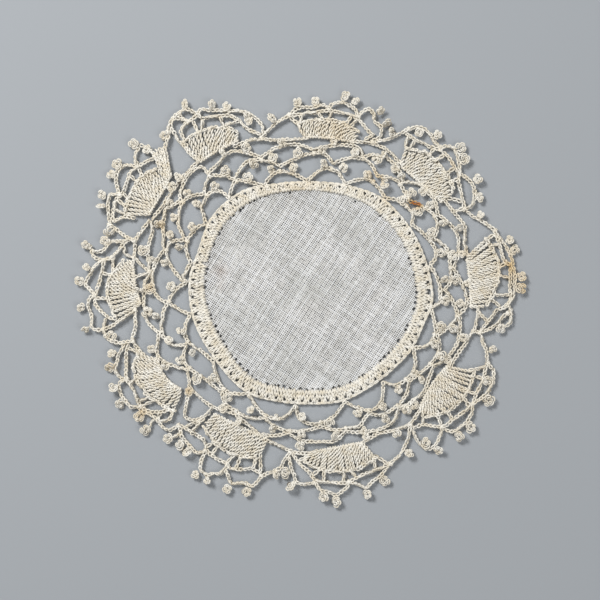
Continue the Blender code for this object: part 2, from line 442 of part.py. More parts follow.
def arch_path(arch, end):
    """Centreline of an arch, from its foot through its crown to the given end."""
    return smooth([place(*station) for station in (arch.foot, arch.rise, arch.crown, arch.fall, end)])


def add_round(plan, arches, end):
    """A round of picot arches; each one ends at the next one's foot."""
    ends = [arch.foot for arch in arches[1:]] + [end]
    for arch, last in zip(arches, ends):
        path = arch_path(arch, last)
        plan.add_cord(path, CHAIN_WIDTH)
        for picot in arch.picots:
            plan.add_picot(picot, path)


def add_band(plan, inner, outer):
    """The close band as a ring of quads, with a raised ring on each of its rounds of stitches."""
    count = len(inner)
    for i in range(count):
        j = (i + 1) % count
        plan.outlines.append((inner[i], inner[j], outer[j], outer[i]))
    for share, height in BAND_ROUNDS:
        plan.raised += [(x, y, height) for x, y in inner + (outer - inner) * share]


def edging_plan(inner, outer):
    """Every cord, picot and fan of the edging, and the band, in one plan."""
    plan = Plan()
    for fan in FANS:
        plan.add_fan(fan)
    add_band(plan, inner, outer)
    add_round(plan, ROUND_1, ROUND_1[0].foot)
    add_round(plan, ROUND_2, ROUND_2_END)
    add_round(plan, ROUND_3, ROUND_3_END)
    base_paths = [smooth([place(*station) for station in row]) for row in BASE_CHAIN]
    for path in base_paths:
        plan.add_cord(path, CHAIN_WIDTH)
    for picot in BASE_PICOTS:
        nearest = min(base_paths, key=lambda path: np.min(np.linalg.norm(path - place(*picot), axis=1)))
        plan.add_picot(picot, nearest)
    for row in MESH_CHAINS:
        plan.add_cord(smooth([place(*station) for station in row]), CHAIN_WIDTH)
    for post in MESH_POSTS:
        plan.add_cord(np.array((place(*post.top), place(*post.foot))), POST_WIDTH)
    for arch in OUTER_ARCHES:
        path = smooth([place(*station) for station in arch.stations])
        plan.add_cord(path, CHAIN_WIDTH)
        for picot in arch.picots:
            plan.add_picot(picot, path)
    for row in FOLDED_CHAINS:
        plan.add_cord(smooth([place(*station) for station in row]), FOLDED_WIDTH, PICOT_RIDGE)
    return plan


def joined_loops(outlines):
    """The closed edge loops of all outlines joined in plan, without the holes under FINE_GAP."""
    points, faces = [], []
    for outline in outlines:
        faces.append(list(range(len(points), len(points) + len(outline))))
        anticlockwise = loop_area(np.array(outline)) > 0
        points += [tuple(p) for p in (outline if anticlockwise else outline[::-1])]
    inside_only = 1
    spots, _, triangles, _, _, owners = delaunay_2d_cdt(points, [], faces, inside_only, SAME_POINT, True)
    covered = [face for face, owner in zip(triangles, owners) if owner]
    sides = {(face[k], face[(k + 1) % len(face)]) for face in covered for k in range(len(face))}
    onward = {}
    for a, b in sides:
        if (b, a) not in sides:
            onward.setdefault(a, []).append(b)
    loops = []
    while onward:
        start = here = next(iter(onward))
        loop = []
        while True:
            loop.append(here)
            following = onward[here].pop()
            if not onward[here]:
                del onward[here]
            here = following
            if here == start:
                break
        loop = without_fine_corners([spots[i] for i in loop])
        if len(loop) > 3 and (loop_area(loop) > 0 or -loop_area(loop) > FINE_GAP):
            loops.append(loop)
    return loops


def loop_area(loop):
    """Area of a closed loop, positive where it runs anticlockwise."""
    x, y = loop[:, 0], loop[:, 1]
    return 0.5 * float(np.sum(x * np.roll(y, -1) - y * np.roll(x, -1)))


def without_fine_corners(loop):
    """The loop without its smallest corners: the least one goes first, until all are large enough."""
    loop = list(loop)
    while len(loop) > 4:
        points = np.array(loop)
        back, on = points - np.roll(points, 1, axis=0), np.roll(points, -1, axis=0) - points
        corners = 0.5 * np.abs(back[:, 0] * on[:, 1] - back[:, 1] * on[:, 0])
        least = int(np.argmin(corners))
        if corners[least] > FINE_CORNER:
            break
        loop.pop(least)
    return np.array(loop)


def spread_out(raised, edge_points):
    """Raised points in order, without those that lie too near an edge point or an earlier one."""
    kept = []
    taken = np.array(edge_points)
    for x, y, height in raised:
        if np.min(np.hypot(taken[:, 0] - x, taken[:, 1] - y)) > RIDGE_CLEARANCE:
            kept.append((x, y, height))
            taken = np.vstack((taken, (x, y)))
    return kept


def inside(points, loops):
    """Which points lie inside the loops, by counting crossings."""
    within = np.zeros(len(points), dtype=bool)
    px, py = points[:, 0], points[:, 1]
    for loop in loops:
        for (ax, ay), (bx, by) in zip(loop, np.roll(loop, -1, axis=0)):
            if ay != by:
                crosses = ((ay > py) != (by > py)) & (px < (bx - ax) * (py - ay) / (by - ay) + ax)
                within ^= crosses
    return within


def raise_sheet(name, loops, raised, edge_height, material):
    """A closed sheet over the loops: level underside, upright sides, raised points on top."""
    points, edges = [], []
    for loop in loops:
        first = len(points)
        edges += [(first + k, first + (k + 1) % len(loop)) for k in range(len(loop))]
        points += [tuple(p) for p in loop]
    heights = [edge_height] * len(points)
    raised = np.array(spread_out(raised, points))
    raised = raised[inside(raised, loops)]
    points += [(x, y) for x, y, _ in raised]
    heights += [height for _, _, height in raised]
    whole_plan = 0
    spots, _, triangles, sources, _, _ = delaunay_2d_cdt(points, edges, [], whole_plan, SAME_POINT, True)
    spots = np.array(spots)
    within = inside(spots[np.array(triangles)].mean(axis=1), loops)

    sheet = bmesh.new()
    corners = []
    for (x, y), source in zip(spots, sources):
        height = heights[source[0]] if source else edge_height
        corners.append(sheet.verts.new((x * MM, y * MM, height * MM)))
    for face, keep in zip(triangles, within):
        if keep:
            sheet.faces.new([corners[i] for i in face])
    lowered = bmesh.ops.extrude_face_region(sheet, geom=list(sheet.faces), use_keep_orig=True)
    for item in lowered["geom"]:
        if isinstance(item, bmesh.types.BMVert):
            item.co.z = 0
    bmesh.ops.recalc_face_normals(sheet, faces=sheet.faces)
    mesh = bpy.data.meshes.new(name)
    sheet.to_mesh(mesh)
    sheet.free()
    mesh.materials.append(material)
    return bpy.data.objects.new(name, mesh)


def matt_fibre(name, colour, roughness):
    material = bpy.data.materials.new(name)
    material.use_nodes = True
    shader = material.node_tree.nodes["Principled BSDF"]
    shader.inputs["Base Color"].default_value = (*colour, 1)
    shader.inputs["Roughness"].default_value = roughness
    shader.inputs["Metallic"].default_value = 0
    return material


def make_edging(inner, outer):
    plan = edging_plan(inner, outer)
    material = matt_fibre("crochet_cotton", COTTON_COLOUR, COTTON_ROUGHNESS)
    return raise_sheet("crochet_edging", joined_loops(plan.outlines), plan.raised, CORD_EDGE, material)


def make_linen(rim):
    """The linen: a thin disc with its hem turned under all round, which raises it a little there."""
    middle = np.array(LINEN_MIDDLE)
    reach = np.linalg.norm(rim - middle, axis=1)[:, None]
    out = (rim - middle) / reach
    rim = middle + out * (reach - PIECE_GAP)
    raised = []
    for inset, height in ((HEM_WIDTH / 2, HEM_THICKNESS), (HEM_WIDTH, LINEN_THICKNESS)):
        raised += [(x, y, height) for x, y in rim - out * inset]
    raised.append((*middle, LINEN_THICKNESS))
    material = matt_fibre("plain_linen", LINEN_COLOUR, LINEN_ROUGHNESS)
    return raise_sheet("linen_centre", [rim], raised, LINEN_THICKNESS, material)


def build():
    for item in list(bpy.data.objects):
        bpy.data.objects.remove(item, do_unlink=True)
    doily = bpy.data.collections.new("lace_doily")
    bpy.context.scene.collection.children.link(doily)
    inner = smooth([place(ring.deg, ring.inner) for ring in BAND], closed=True, steps=RING_STEPS)
    outer = smooth([place(ring.deg, ring.outer) for ring in BAND], closed=True, steps=RING_STEPS)
    doily.objects.link(make_linen(inner))
    doily.objects.link(make_edging(inner, outer))


build()
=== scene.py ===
"""Looks of a round lace doily: a linen centre and the crocheted cotton round it, stitch by stitch.

Lengths in the tables and formulas are millimetres; a mesh is turned to metres when it is made.
"""

# %% [markdown]
# # A lace doily, thread by thread
# The doily is a small disc of plain-woven linen with a wide edging crocheted onto its rim. Lace could
# be a flat sheet with a pattern of holes, but it would look like paper from near by. Crochet is one
# thread pulled through its own loops, so it is modelled as that: a tube that follows the thread. The
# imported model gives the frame, with the two solids that this script dresses.

# %% The frame
from collections import namedtuple

import bpy
import numpy as np
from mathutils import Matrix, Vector


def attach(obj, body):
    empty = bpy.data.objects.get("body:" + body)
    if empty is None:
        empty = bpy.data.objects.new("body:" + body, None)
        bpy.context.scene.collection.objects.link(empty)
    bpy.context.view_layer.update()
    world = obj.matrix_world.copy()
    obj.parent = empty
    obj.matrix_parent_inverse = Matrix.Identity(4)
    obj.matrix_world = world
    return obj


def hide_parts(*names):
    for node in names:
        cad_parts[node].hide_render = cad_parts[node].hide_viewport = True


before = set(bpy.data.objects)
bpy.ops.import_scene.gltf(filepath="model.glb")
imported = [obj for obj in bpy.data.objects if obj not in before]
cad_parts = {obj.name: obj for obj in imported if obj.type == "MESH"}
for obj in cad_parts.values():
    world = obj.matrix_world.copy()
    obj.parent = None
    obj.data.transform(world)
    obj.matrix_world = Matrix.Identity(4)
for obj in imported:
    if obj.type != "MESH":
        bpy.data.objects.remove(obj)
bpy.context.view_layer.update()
BODY = "root"
MM = 0.001
print("solid nodes:", sorted(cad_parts))

# %% [markdown]
# ## Real sizes
# Everything is worked out from the thread. The cotton is about half a millimetre thick with its fuzz;
# a chain stitch made with it is 1.35 mm long and 1.5 mm wide, and a treble takes 1.2 mm of a row. The
# linen has about 16 threads to the centimetre. Each stitch differs a little from the next, so one
# seeded source of random numbers is shared by all the work, and gives the same doily each time.

# %% Driving sizes
THREAD = 0.56                 # thickness of the crochet cotton
CLOSE_THREAD = 0.6            # its thickness in trebles and close stitches, where it lies slacker
CHAIN_PITCH = 1.35            # length of one chain stitch
CHAIN_WIDTH = 1.5
CHAIN_DEPTH = 0.38            # half the depth of a chain, thread middle to thread middle
POST_WIDTH = 1.45             # width of a post of the mesh row
TREBLE_PITCH = 1.2            # from one treble to the next
PICOT_SIZE = 3.9              # across a picot, outside its thread
CLOTH_THREAD = 0.63           # pitch of the linen's threads
WEAVE_TURN = 57               # degrees from +X to the linen's warp
CORD_LEVEL = 0.82             # height of a chain's middle above the table
LINEN_MIDDLE = (3.75, 2.38)   # middle of the linen, from the middle of the whole outline
dice = np.random.default_rng(30)
print(f"one metre of chain takes {1000 / CHAIN_PITCH:.0f} stitches")

# %% [markdown]
# ## Routes of the band and the inner arches
# A doily that has been washed and laid out by hand is never a perfect wheel, so a formula can't place
# its arches. They could be drawn as curves in the window, but a table can be read and checked. Each
# station was read off the doily as bearing (degrees anticlockwise from +X) and radius
# (millimetres), both about the middle of the linen. There is one row for each arch, fan or post.

# %% Stations of the band and the inner arches
Ring = namedtuple("Ring", "deg outer inner")
Arch = namedtuple("Arch", "foot rise crown fall picots")

# The close band: its outer edge, and its inner edge along the pierced rim of the linen
BAND = (
    Ring(0, 40.1, 34.8),
    Ring(25, 39.0, 34.5),
    Ring(50, 39.0, 34.3),
    Ring(70, 37.4, 33.9),
    Ring(90, 36.6, 33.8),
    Ring(108, 37.7, 34.8),
    Ring(124, 40.6, 36.2),
    Ring(142, 41.6, 36.8),
    Ring(160, 40.2, 36.3),
    Ring(178, 41.0, 35.7),
    Ring(200, 40.0, 34.4),
    Ring(230, 39.7, 34.6),
    Ring(250, 38.4, 33.6),
    Ring(280, 37.5, 32.9),
    Ring(300, 37.0, 32.6),
    Ring(325, 37.8, 33.1),
    Ring(344, 38.7, 34.2),
)

# First round of picot arches, each from its foot on the band to the next row's foot
ROUND_1 = (
    Arch((12.6, 40.3), (16.0, 42.7), (22.0, 43.2), (28.5, 41.5), ((16.8, 44.6), (26.4, 44.2))),
    Arch((34.2, 39.8), (37.5, 41.9), (42.0, 42.4), (47.5, 41.6), ((37.4, 44.3), (45.3, 43.0))),
    Arch((52.4, 39.4), (57.0, 41.1), (63.0, 42.0), (68.0, 40.3), ((55.9, 43.0), (64.6, 43.1))),
    Arch((72.5, 37.6), (77.0, 40.3), (82.5, 41.5), (87.0, 39.9), ((75.9, 42.7), (84.7, 42.8))),
    Arch((92.4, 37.0), (98.0, 39.3), (105.0, 41.5), (110.5, 40.7), ((98.4, 41.8), (108.4, 43.0))),
    Arch((113.8, 38.6), (118.5, 41.3), (124.0, 44.5), (128.5, 43.4), ((119.2, 43.5),)),
    Arch((131.6, 41.3), (132.3, 45.0), (137.0, 47.4), (143.3, 45.6), ((132.7, 47.7), (142.5, 48.5))),
    Arch((147.3, 41.8), (151.2, 44.0), (158.0, 44.8), (163.0, 43.6), ((151.7, 45.4), (161.5, 46.5))),
    Arch((166.5, 41.3), (168.5, 42.1), (171.0, 42.2), (173.2, 43.0), ()),
    Arch((175.2, 41.8), (178.7, 44.8), (183.8, 47.7), (187.5, 44.8), ((177.8, 46.8),)),
    Arch((190.4, 41.0), (195.0, 43.5), (201.0, 44.7), (206.6, 42.4), ((196.5, 45.5), (206.6, 44.7))),
    Arch((215.0, 39.9), (220.5, 42.0), (228.0, 43.7), (233.0, 42.4), ((221.1, 43.8), (231.3, 44.8))),
    Arch((237.8, 39.9), (243.5, 42.0), (250.0, 44.1), (257.0, 42.9), ((242.8, 44.2), (254.5, 43.6))),
    Arch((261.7, 38.2), (264.3, 42.3), (270.5, 43.8), (279.0, 42.5), ((265.4, 41.7), (277.6, 44.0))),
    Arch((286.8, 38.2), (291.0, 41.2), (296.5, 44.0), (302.3, 42.8), ((290.6, 43.2), (301.4, 44.8))),
    Arch((308.3, 38.4), (311.8, 41.3), (316.5, 42.7), (324.5, 42.1), ((311.6, 43.4), (321.6, 43.4))),
    Arch((331.0, 38.5), (335.5, 42.2), (341.0, 43.2), (346.5, 41.9), ((337.2, 44.2), (345.0, 44.2))),
    Arch((352.0, 40.0), (355.0, 42.4), (0.0, 42.7), (6.5, 41.6), ((356.3, 44.4), (5.4, 44.2))),
)

# Second round, from crown to crown of the first; it ends short where the cloth has drawn in
ROUND_2 = (
    Arch((184.3, 48.2), (188.5, 50.1), (194.8, 51.8), (200.8, 49.7), ((188.8, 52.5), (198.7, 50.2))),
    Arch((202.6, 45.4), (206.3, 47.6), (211.5, 48.0), (219.0, 46.0), ((207.4, 49.5), (217.2, 48.0))),
    Arch((227.6, 44.7), (231.5, 46.8), (238.0, 47.0), (245.0, 46.5), ((232.7, 48.6), (240.9, 49.3))),
    Arch((249.6, 44.6), (254.0, 46.2), (261.0, 46.9), (267.0, 46.1), ((254.0, 47.3), (265.6, 47.4))),
    Arch((273.8, 44.8), (279.0, 46.5), (284.0, 46.8), (290.0, 46.5), ((279.4, 48.3), (290.3, 49.2))),
    Arch((295.4, 44.6), (299.5, 46.7), (307.0, 47.4), (312.5, 46.3), ((300.0, 48.4),)),
    Arch((317.2, 43.8), (322.5, 45.0), (328.8, 46.1), (336.0, 46.2), ((321.6, 46.7), (333.4, 47.6))),
    Arch((341.0, 44.4), (345.5, 46.7), (350.7, 49.0), (356.0, 47.0), ((345.4, 48.6), (355.6, 49.5))),
    Arch((1.0, 44.0), (4.5, 46.2), (10.0, 46.9), (18.0, 47.0), ((5.0, 47.7), (14.5, 48.3))),
    Arch((24.0, 44.4), (27.0, 46.6), (31.7, 48.0), (38.0, 46.3), ((27.8, 49.0), (36.2, 48.6))),
    Arch((42.8, 44.3), (47.0, 45.2), (52.5, 46.6), (57.0, 45.5), ((45.2, 46.5), (52.6, 48.4))),
    Arch((60.8, 44.2), (64.5, 46.3), (69.0, 47.6), (75.0, 45.9), ((64.0, 48.9), (72.9, 48.5))),
    Arch((80.8, 43.5), (84.0, 45.9), (90.0, 46.0), (98.0, 44.7), ((86.0, 47.3), (96.0, 46.6))),
    Arch((104.3, 43.0), (108.0, 45.6), (115.5, 48.4), (120.3, 47.2), ((106.3, 46.5), (115.0, 46.8))),
    Arch((124.3, 45.2), (127.0, 48.0), (131.3, 51.3), (135.3, 50.1), ((125.5, 49.4),)),
    Arch((137.8, 48.4), (141.0, 51.0), (145.6, 52.3), (152.5, 49.9), ((141.9, 52.9), (151.7, 52.1))),
    Arch((157.9, 45.9), (160.0, 49.2), (164.0, 50.5), (170.0, 47.4), ((158.3, 50.8), (168.8, 49.9))),
)
ROUND_2_END = (174.8, 43.3)

# Third round, from crown to crown of the second
ROUND_3 = (
    Arch((195.0, 52.6), (198.5, 54.4), (202.5, 55.4), (207.5, 52.7), ((199.5, 56.6), (206.4, 54.5))),
    Arch((212.3, 49.0), (216.0, 50.6), (219.8, 51.4), (229.0, 50.4), ((218.9, 52.6),)),
    Arch((237.7, 48.0), (243.5, 48.9), (251.0, 50.2), (256.8, 48.9), ()),
    Arch((261.0, 47.6), (266.0, 49.4), (272.0, 49.9), (278.5, 50.1), ((265.5, 51.3),)),
    Arch((283.8, 47.5), (289.0, 49.3), (296.0, 50.9), (302.3, 50.5), ((290.5, 51.3),)),
    Arch((306.9, 48.0), (311.0, 49.0), (318.0, 49.6), (323.5, 48.3), ((308.6, 50.2), (312.1, 50.4))),
    Arch((328.6, 47.0), (332.5, 49.3), (340.0, 51.3), (346.0, 50.7), ((333.3, 50.8), (343.3, 52.7))),
    Arch((350.5, 49.6), (354.5, 51.3), (358.8, 51.4), (3.5, 49.9), ((3.2, 51.8),)),
    Arch((9.7, 47.7), (14.5, 50.0), (20.5, 51.8), (27.0, 51.0), ((14.3, 51.4), (23.8, 53.0))),
    Arch((31.8, 48.7), (35.5, 50.7), (40.5, 50.9), (46.2, 50.0), ((42.4, 49.7),)),
    Arch((50.4, 47.2), (55.5, 50.2), (61.0, 51.0), (66.0, 49.9), ((56.2, 49.6), (62.0, 51.4))),
    Arch((69.0, 48.2), (72.0, 50.5), (77.5, 49.9), (83.5, 48.8), ((72.9, 48.6), (81.7, 50.3))),
    Arch((89.7, 47.4), (93.5, 48.5), (98.5, 49.8), (104.5, 49.1), ((101.5, 50.3),)),
    Arch((110.5, 48.0), (115.7, 51.3), (120.3, 54.0), (126.0, 53.0), ((114.5, 52.3), (122.7, 54.8))),
    Arch((131.4, 52.3), (131.6, 55.3), (136.0, 56.7), (141.8, 55.3), ()),
    Arch((145.3, 53.2), (148.5, 54.8), (151.0, 56.0), (157.0, 53.8), ((148.3, 55.7), (156.0, 55.6))),
    Arch((164.2, 51.3), (168.5, 52.7), (175.0, 53.2), (181.5, 51.6), ((168.6, 53.9), (178.8, 53.7))),
)
ROUND_3_END = (184.4, 48.6)
print(len(ROUND_1) + len(ROUND_2) + len(ROUND_3), "inner arches")

# %% [markdown]
# ## Routes of the fans
# Ten fans of tall stitches spread beyond the inner arches, and a base chain joins them. Each stitch
# could have a row in a table, but they are alike, so the table has only the two curves between which
# a fan is worked. The solids have the same fans, except at a top corner of the third, and at the
# folded side of the fifth, where they have one cord and the looks have four chains.

# %% Stations of the base chain and the fans
Fan = namedtuple("Fan", "base_start base_middle base_end top_start top_middle top_end")

# Base chain between one fan and the next; each row ends at its own last point
BASE_CHAIN = (
    ((12.5, 53.0), (18.0, 53.3), (23.5, 55.2), (28.5, 54.4), (34.5, 53.4)),
    ((54.0, 51.4), (58.5, 52.8), (64.0, 53.5), (70.0, 53.0), (75.0, 51.6)),
    ((91.0, 51.3), (97.5, 51.0), (104.0, 52.2), (111.0, 54.1), (118.0, 55.0)),
    ((130.2, 57.8), (135.0, 57.5), (140.5, 57.4), (148.0, 57.3), (155.5, 58.2)),
    ((155.8, 59.2), (160.5, 60.1), (164.0, 61.2), (167.5, 60.4), (170.8, 60.2)),
    ((169.3, 59.9), (170.7, 57.8), (172.0, 56.0), (173.3, 54.0)),
    ((156.0, 58.6), (159.5, 56.9), (164.0, 56.4), (169.0, 55.6), (173.3, 54.1)),
    ((173.2, 54.0), (177.0, 55.6), (184.0, 56.0), (190.5, 55.4), (195.2, 52.6)),
    ((173.3, 54.0), (174.3, 57.0), (175.3, 59.2)),
    ((185.0, 58.7), (190.0, 59.7), (195.0, 61.6), (198.0, 60.8), (200.8, 60.0)),
    ((202.5, 55.3), (204.0, 56.8)),
    ((219.3, 52.6), (221.7, 56.0), (224.5, 59.3), (228.2, 57.0), (229.3, 51.2)),
    ((252.5, 51.6), (258.0, 52.2), (264.0, 53.7), (268.5, 53.5), (273.0, 52.8)),
    ((288.0, 52.8), (295.0, 52.2), (301.0, 53.4), (306.5, 54.4), (312.5, 53.4)),
    ((331.0, 52.0), (337.5, 52.8), (344.0, 54.5), (349.0, 55.5), (354.8, 55.4)),
)
BASE_PICOTS = ((139.3, 58.5), (143.2, 58.4), (166.1, 57.8), (179.4, 57.3), (187.0, 55.0), (301.0, 54.4))

# Ten treble fans, each from its base round to its wider top, start to end anticlockwise
FANS = (
    Fan((354.3, 53.0), (3.5, 52.5), (12.2, 52.6), (355.3, 58.0), (6.5, 62.6), (17.0, 60.2)),
    Fan((34.5, 52.3), (44.5, 51.2), (54.5, 51.1), (35.0, 57.2), (45.5, 60.0), (57.0, 57.0)),
    Fan((74.0, 51.6), (83.0, 51.5), (92.3, 51.6), (73.3, 54.8), (83.0, 57.5), (95.2, 56.3)),
    Fan((116.0, 56.0), (123.5, 56.4), (130.8, 57.0), (114.8, 58.8), (121.5, 64.0), (130.8, 65.8)),
    Fan((142.3, 60.2), (148.5, 59.8), (154.7, 60.0), (141.3, 65.8), (149.0, 68.8), (157.5, 67.2)),
    Fan((170.7, 60.3), (177.5, 58.8), (184.2, 57.0), (170.3, 63.2), (178.0, 68.0), (187.6, 66.0)),
    Fan((203.3, 55.8), (210.0, 56.4), (216.6, 54.2), (199.2, 61.2), (208.0, 65.2), (220.6, 60.8)),
    Fan((231.3, 51.9), (241.0, 50.7), (253.0, 50.9), (230.7, 57.3), (242.0, 60.1), (252.2, 57.5)),
    Fan((269.8, 53.5), (280.0, 52.2), (288.6, 52.9), (266.8, 56.3), (279.5, 60.5), (291.2, 59.0)),
    Fan((312.5, 52.8), (321.5, 50.4), (331.4, 51.3), (311.8, 55.7), (322.0, 60.9), (334.0, 60.2)),
)

# The drawn-in side of the fifth fan, folded over it
FOLDED_SIDE = Fan((140.6, 60.6), (141.4, 60.3), (142.4, 60.4), (135.6, 68.0), (137.3, 69.8), (139.4, 70.6))
print(len(FANS), "fans")

# %% [markdown]
# ## Routes of the mesh row
# Over the fans runs a row of square openings: a chain, held up by posts. Posts at even steps would
# look ruled. Every real one leans its own way, so each is in the table by its two ends.

# %% Stations of the mesh row
Post = namedtuple("Post", "top foot")

# Chains of the mesh row over the fans, in order round the doily
MESH_CHAINS = (
    ((346.6, 57.5), (350.5, 59.3), (354.3, 61.7), (355.6, 64.5), (358.0, 66.1), (2.0, 65.7), (7.6, 66.7)),
    ((7.6, 66.7), (9.5, 64.8), (13.5, 64.6), (18.4, 63.8)),
    ((28.7, 57.7), (32.5, 59.0), (36.5, 60.8), (38.7, 62.6), (42.0, 63.3), (47.0, 63.6), (51.0, 62.3),
     (56.0, 61.3), (59.2, 61.2)),
    ((68.2, 56.1), (71.0, 56.9), (74.0, 58.8), (76.0, 60.0), (81.0, 60.5), (86.0, 60.3), (91.0, 59.6),
     (97.5, 59.0)),
    ((108.0, 55.2), (110.8, 57.3), (112.6, 60.5), (113.2, 62.7), (115.3, 64.8), (118.5, 66.5),
     (122.4, 68.2)),
    ((113.0, 61.5), (115.0, 62.0), (117.5, 62.3)),
    ((122.4, 68.2), (122.6, 70.1), (125.0, 69.8), (127.3, 69.8), (129.3, 68.7), (130.0, 65.8)),
    ((139.5, 69.0), (142.0, 70.2), (144.3, 71.2), (146.5, 72.2), (149.5, 71.6), (153.0, 71.2),
     (154.5, 72.0), (157.5, 71.3), (160.5, 70.0), (158.3, 67.3), (157.3, 64.0)),
    ((163.8, 61.3), (164.2, 63.8), (167.0, 65.2), (170.0, 67.3), (171.3, 69.8), (174.5, 70.3),
     (178.5, 71.0), (182.0, 72.3), (185.0, 70.8), (187.2, 68.3), (187.7, 65.8)),
    ((195.5, 63.5), (198.0, 65.0), (201.5, 66.3), (205.3, 68.2), (209.0, 67.8), (213.5, 68.6),
     (216.5, 66.8), (218.2, 64.3), (219.6, 61.5)),
    ((225.3, 62.7), (229.0, 61.3), (234.0, 61.2), (236.5, 63.3), (240.0, 63.7), (243.5, 63.8),
     (245.3, 64.8), (248.5, 63.3), (251.3, 61.5), (251.5, 58.3)),
    ((262.6, 54.0), (266.0, 57.3), (269.0, 59.7), (270.8, 62.5), (275.0, 63.5), (279.5, 64.4),
     (283.0, 63.6), (287.0, 63.0), (291.0, 63.0), (294.4, 62.7)),
    ((306.6, 54.4), (307.0, 56.3), (309.8, 57.4), (312.0, 60.0), (314.0, 61.8), (316.5, 63.0),
     (321.0, 64.0), (325.0, 65.0), (329.0, 64.2), (333.0, 63.7), (337.5, 63.0)),
)

# Posts of the mesh row, from the chain down to a fan or to the base chain
MESH_POSTS = (
    Post((346.4, 57.6), (346.4, 54.9)), Post((350.5, 59.2), (353.2, 55.6)),
    Post((355.5, 63.0), (357.8, 60.0)), Post((359.1, 65.8), (359.1, 61.3)),
    Post((4.2, 65.6), (5.2, 62.0)), Post((8.7, 65.4), (7.0, 62.0)),
    Post((14.7, 64.4), (14.4, 61.5)), Post((17.5, 64.0), (16.8, 60.0)),
    Post((28.8, 57.6), (29.3, 54.2)), Post((31.3, 58.5), (34.4, 55.0)),
    Post((37.8, 61.6), (38.3, 58.6)), Post((41.2, 63.1), (41.2, 59.3)),
    Post((46.0, 63.5), (46.6, 59.7)), Post((49.4, 62.8), (49.5, 59.5)),
    Post((55.9, 61.3), (55.9, 57.4)), Post((58.6, 61.2), (56.9, 56.5)),
    Post((68.6, 56.2), (70.8, 53.8)), Post((75.6, 59.6), (76.8, 56.8)),
    Post((77.4, 60.2), (78.4, 57.0)), Post((83.8, 60.3), (84.9, 57.3)),
    Post((87.8, 59.9), (86.2, 57.2)), Post((93.3, 59.3), (93.5, 56.3)),
    Post((97.2, 58.8), (94.3, 55.0)),
    Post((117.8, 66.2), (117.9, 62.2)), Post((122.5, 68.2), (124.5, 64.8)),
    Post((124.9, 69.8), (125.4, 65.0)),
    Post((144.3, 71.2), (145.9, 68.0)), Post((147.4, 72.1), (148.0, 68.3)),
    Post((152.3, 71.2), (153.5, 68.0)), Post((154.9, 72.0), (155.1, 67.8)),
    Post((157.3, 71.3), (157.4, 66.9)),
    Post((166.0, 64.6), (168.6, 63.4)), Post((168.6, 63.4), (169.3, 59.9)),
    Post((170.0, 67.3), (174.4, 66.6)), Post((171.0, 69.6), (170.2, 66.9)),
    Post((174.9, 70.4), (175.1, 66.9)), Post((181.7, 72.1), (182.0, 67.7)),
    Post((187.0, 69.2), (190.4, 70.6)),
    Post((196.8, 64.3), (199.6, 61.0)),
    Post((206.5, 68.2), (206.4, 64.6)), Post((212.2, 68.2), (212.9, 64.1)),
    Post((214.0, 68.3), (214.4, 63.7)),
    Post((226.3, 62.0), (229.0, 56.6)), Post((229.2, 61.3), (229.4, 55.6)),
    Post((235.7, 62.6), (237.2, 59.1)), Post((238.5, 63.6), (238.4, 59.4)),
    Post((243.3, 63.8), (244.6, 59.8)), Post((246.8, 64.2), (246.5, 59.6)),
    Post((250.8, 61.9), (254.6, 62.9)), Post((254.3, 62.8), (252.3, 56.8)),
    Post((265.5, 56.8), (268.6, 54.6)), Post((270.2, 61.2), (273.2, 58.4)),
    Post((273.6, 63.2), (273.9, 58.8)), Post((279.0, 64.3), (280.4, 60.2)),
    Post((283.3, 63.6), (281.9, 60.1)), Post((289.8, 63.0), (290.3, 59.0)),
    Post((294.1, 62.8), (290.8, 58.4)),
    Post((309.9, 57.5), (312.4, 54.6)), Post((318.0, 63.4), (318.1, 59.0)),
    Post((313.9, 61.7), (315.6, 58.4)), Post((323.9, 64.8), (325.5, 60.5)),
    Post((328.0, 64.5), (327.2, 60.5)), Post((333.0, 63.7), (332.5, 60.2)),
    Post((337.0, 63.1), (333.6, 58.6)),
)

# The chain and picot above the folded side of the fifth fan
FOLDED_CHAIN = ((139.1, 67.8), (138.9, 71.5), (139.4, 75.0))
FOLDED_PICOT = (139.3, 72.6)
print(len(MESH_POSTS), "posts")

# %% [markdown]
# ## Routes of the outer arches
# The last round gives the doily its outline. One wavy ring could be drawn, but no two of its
# stretches bend alike. So each has as many stations as its bends need, and its picots beside them.

# %% Stations of the outer arches
Edge = namedtuple("Edge", "stations picots")

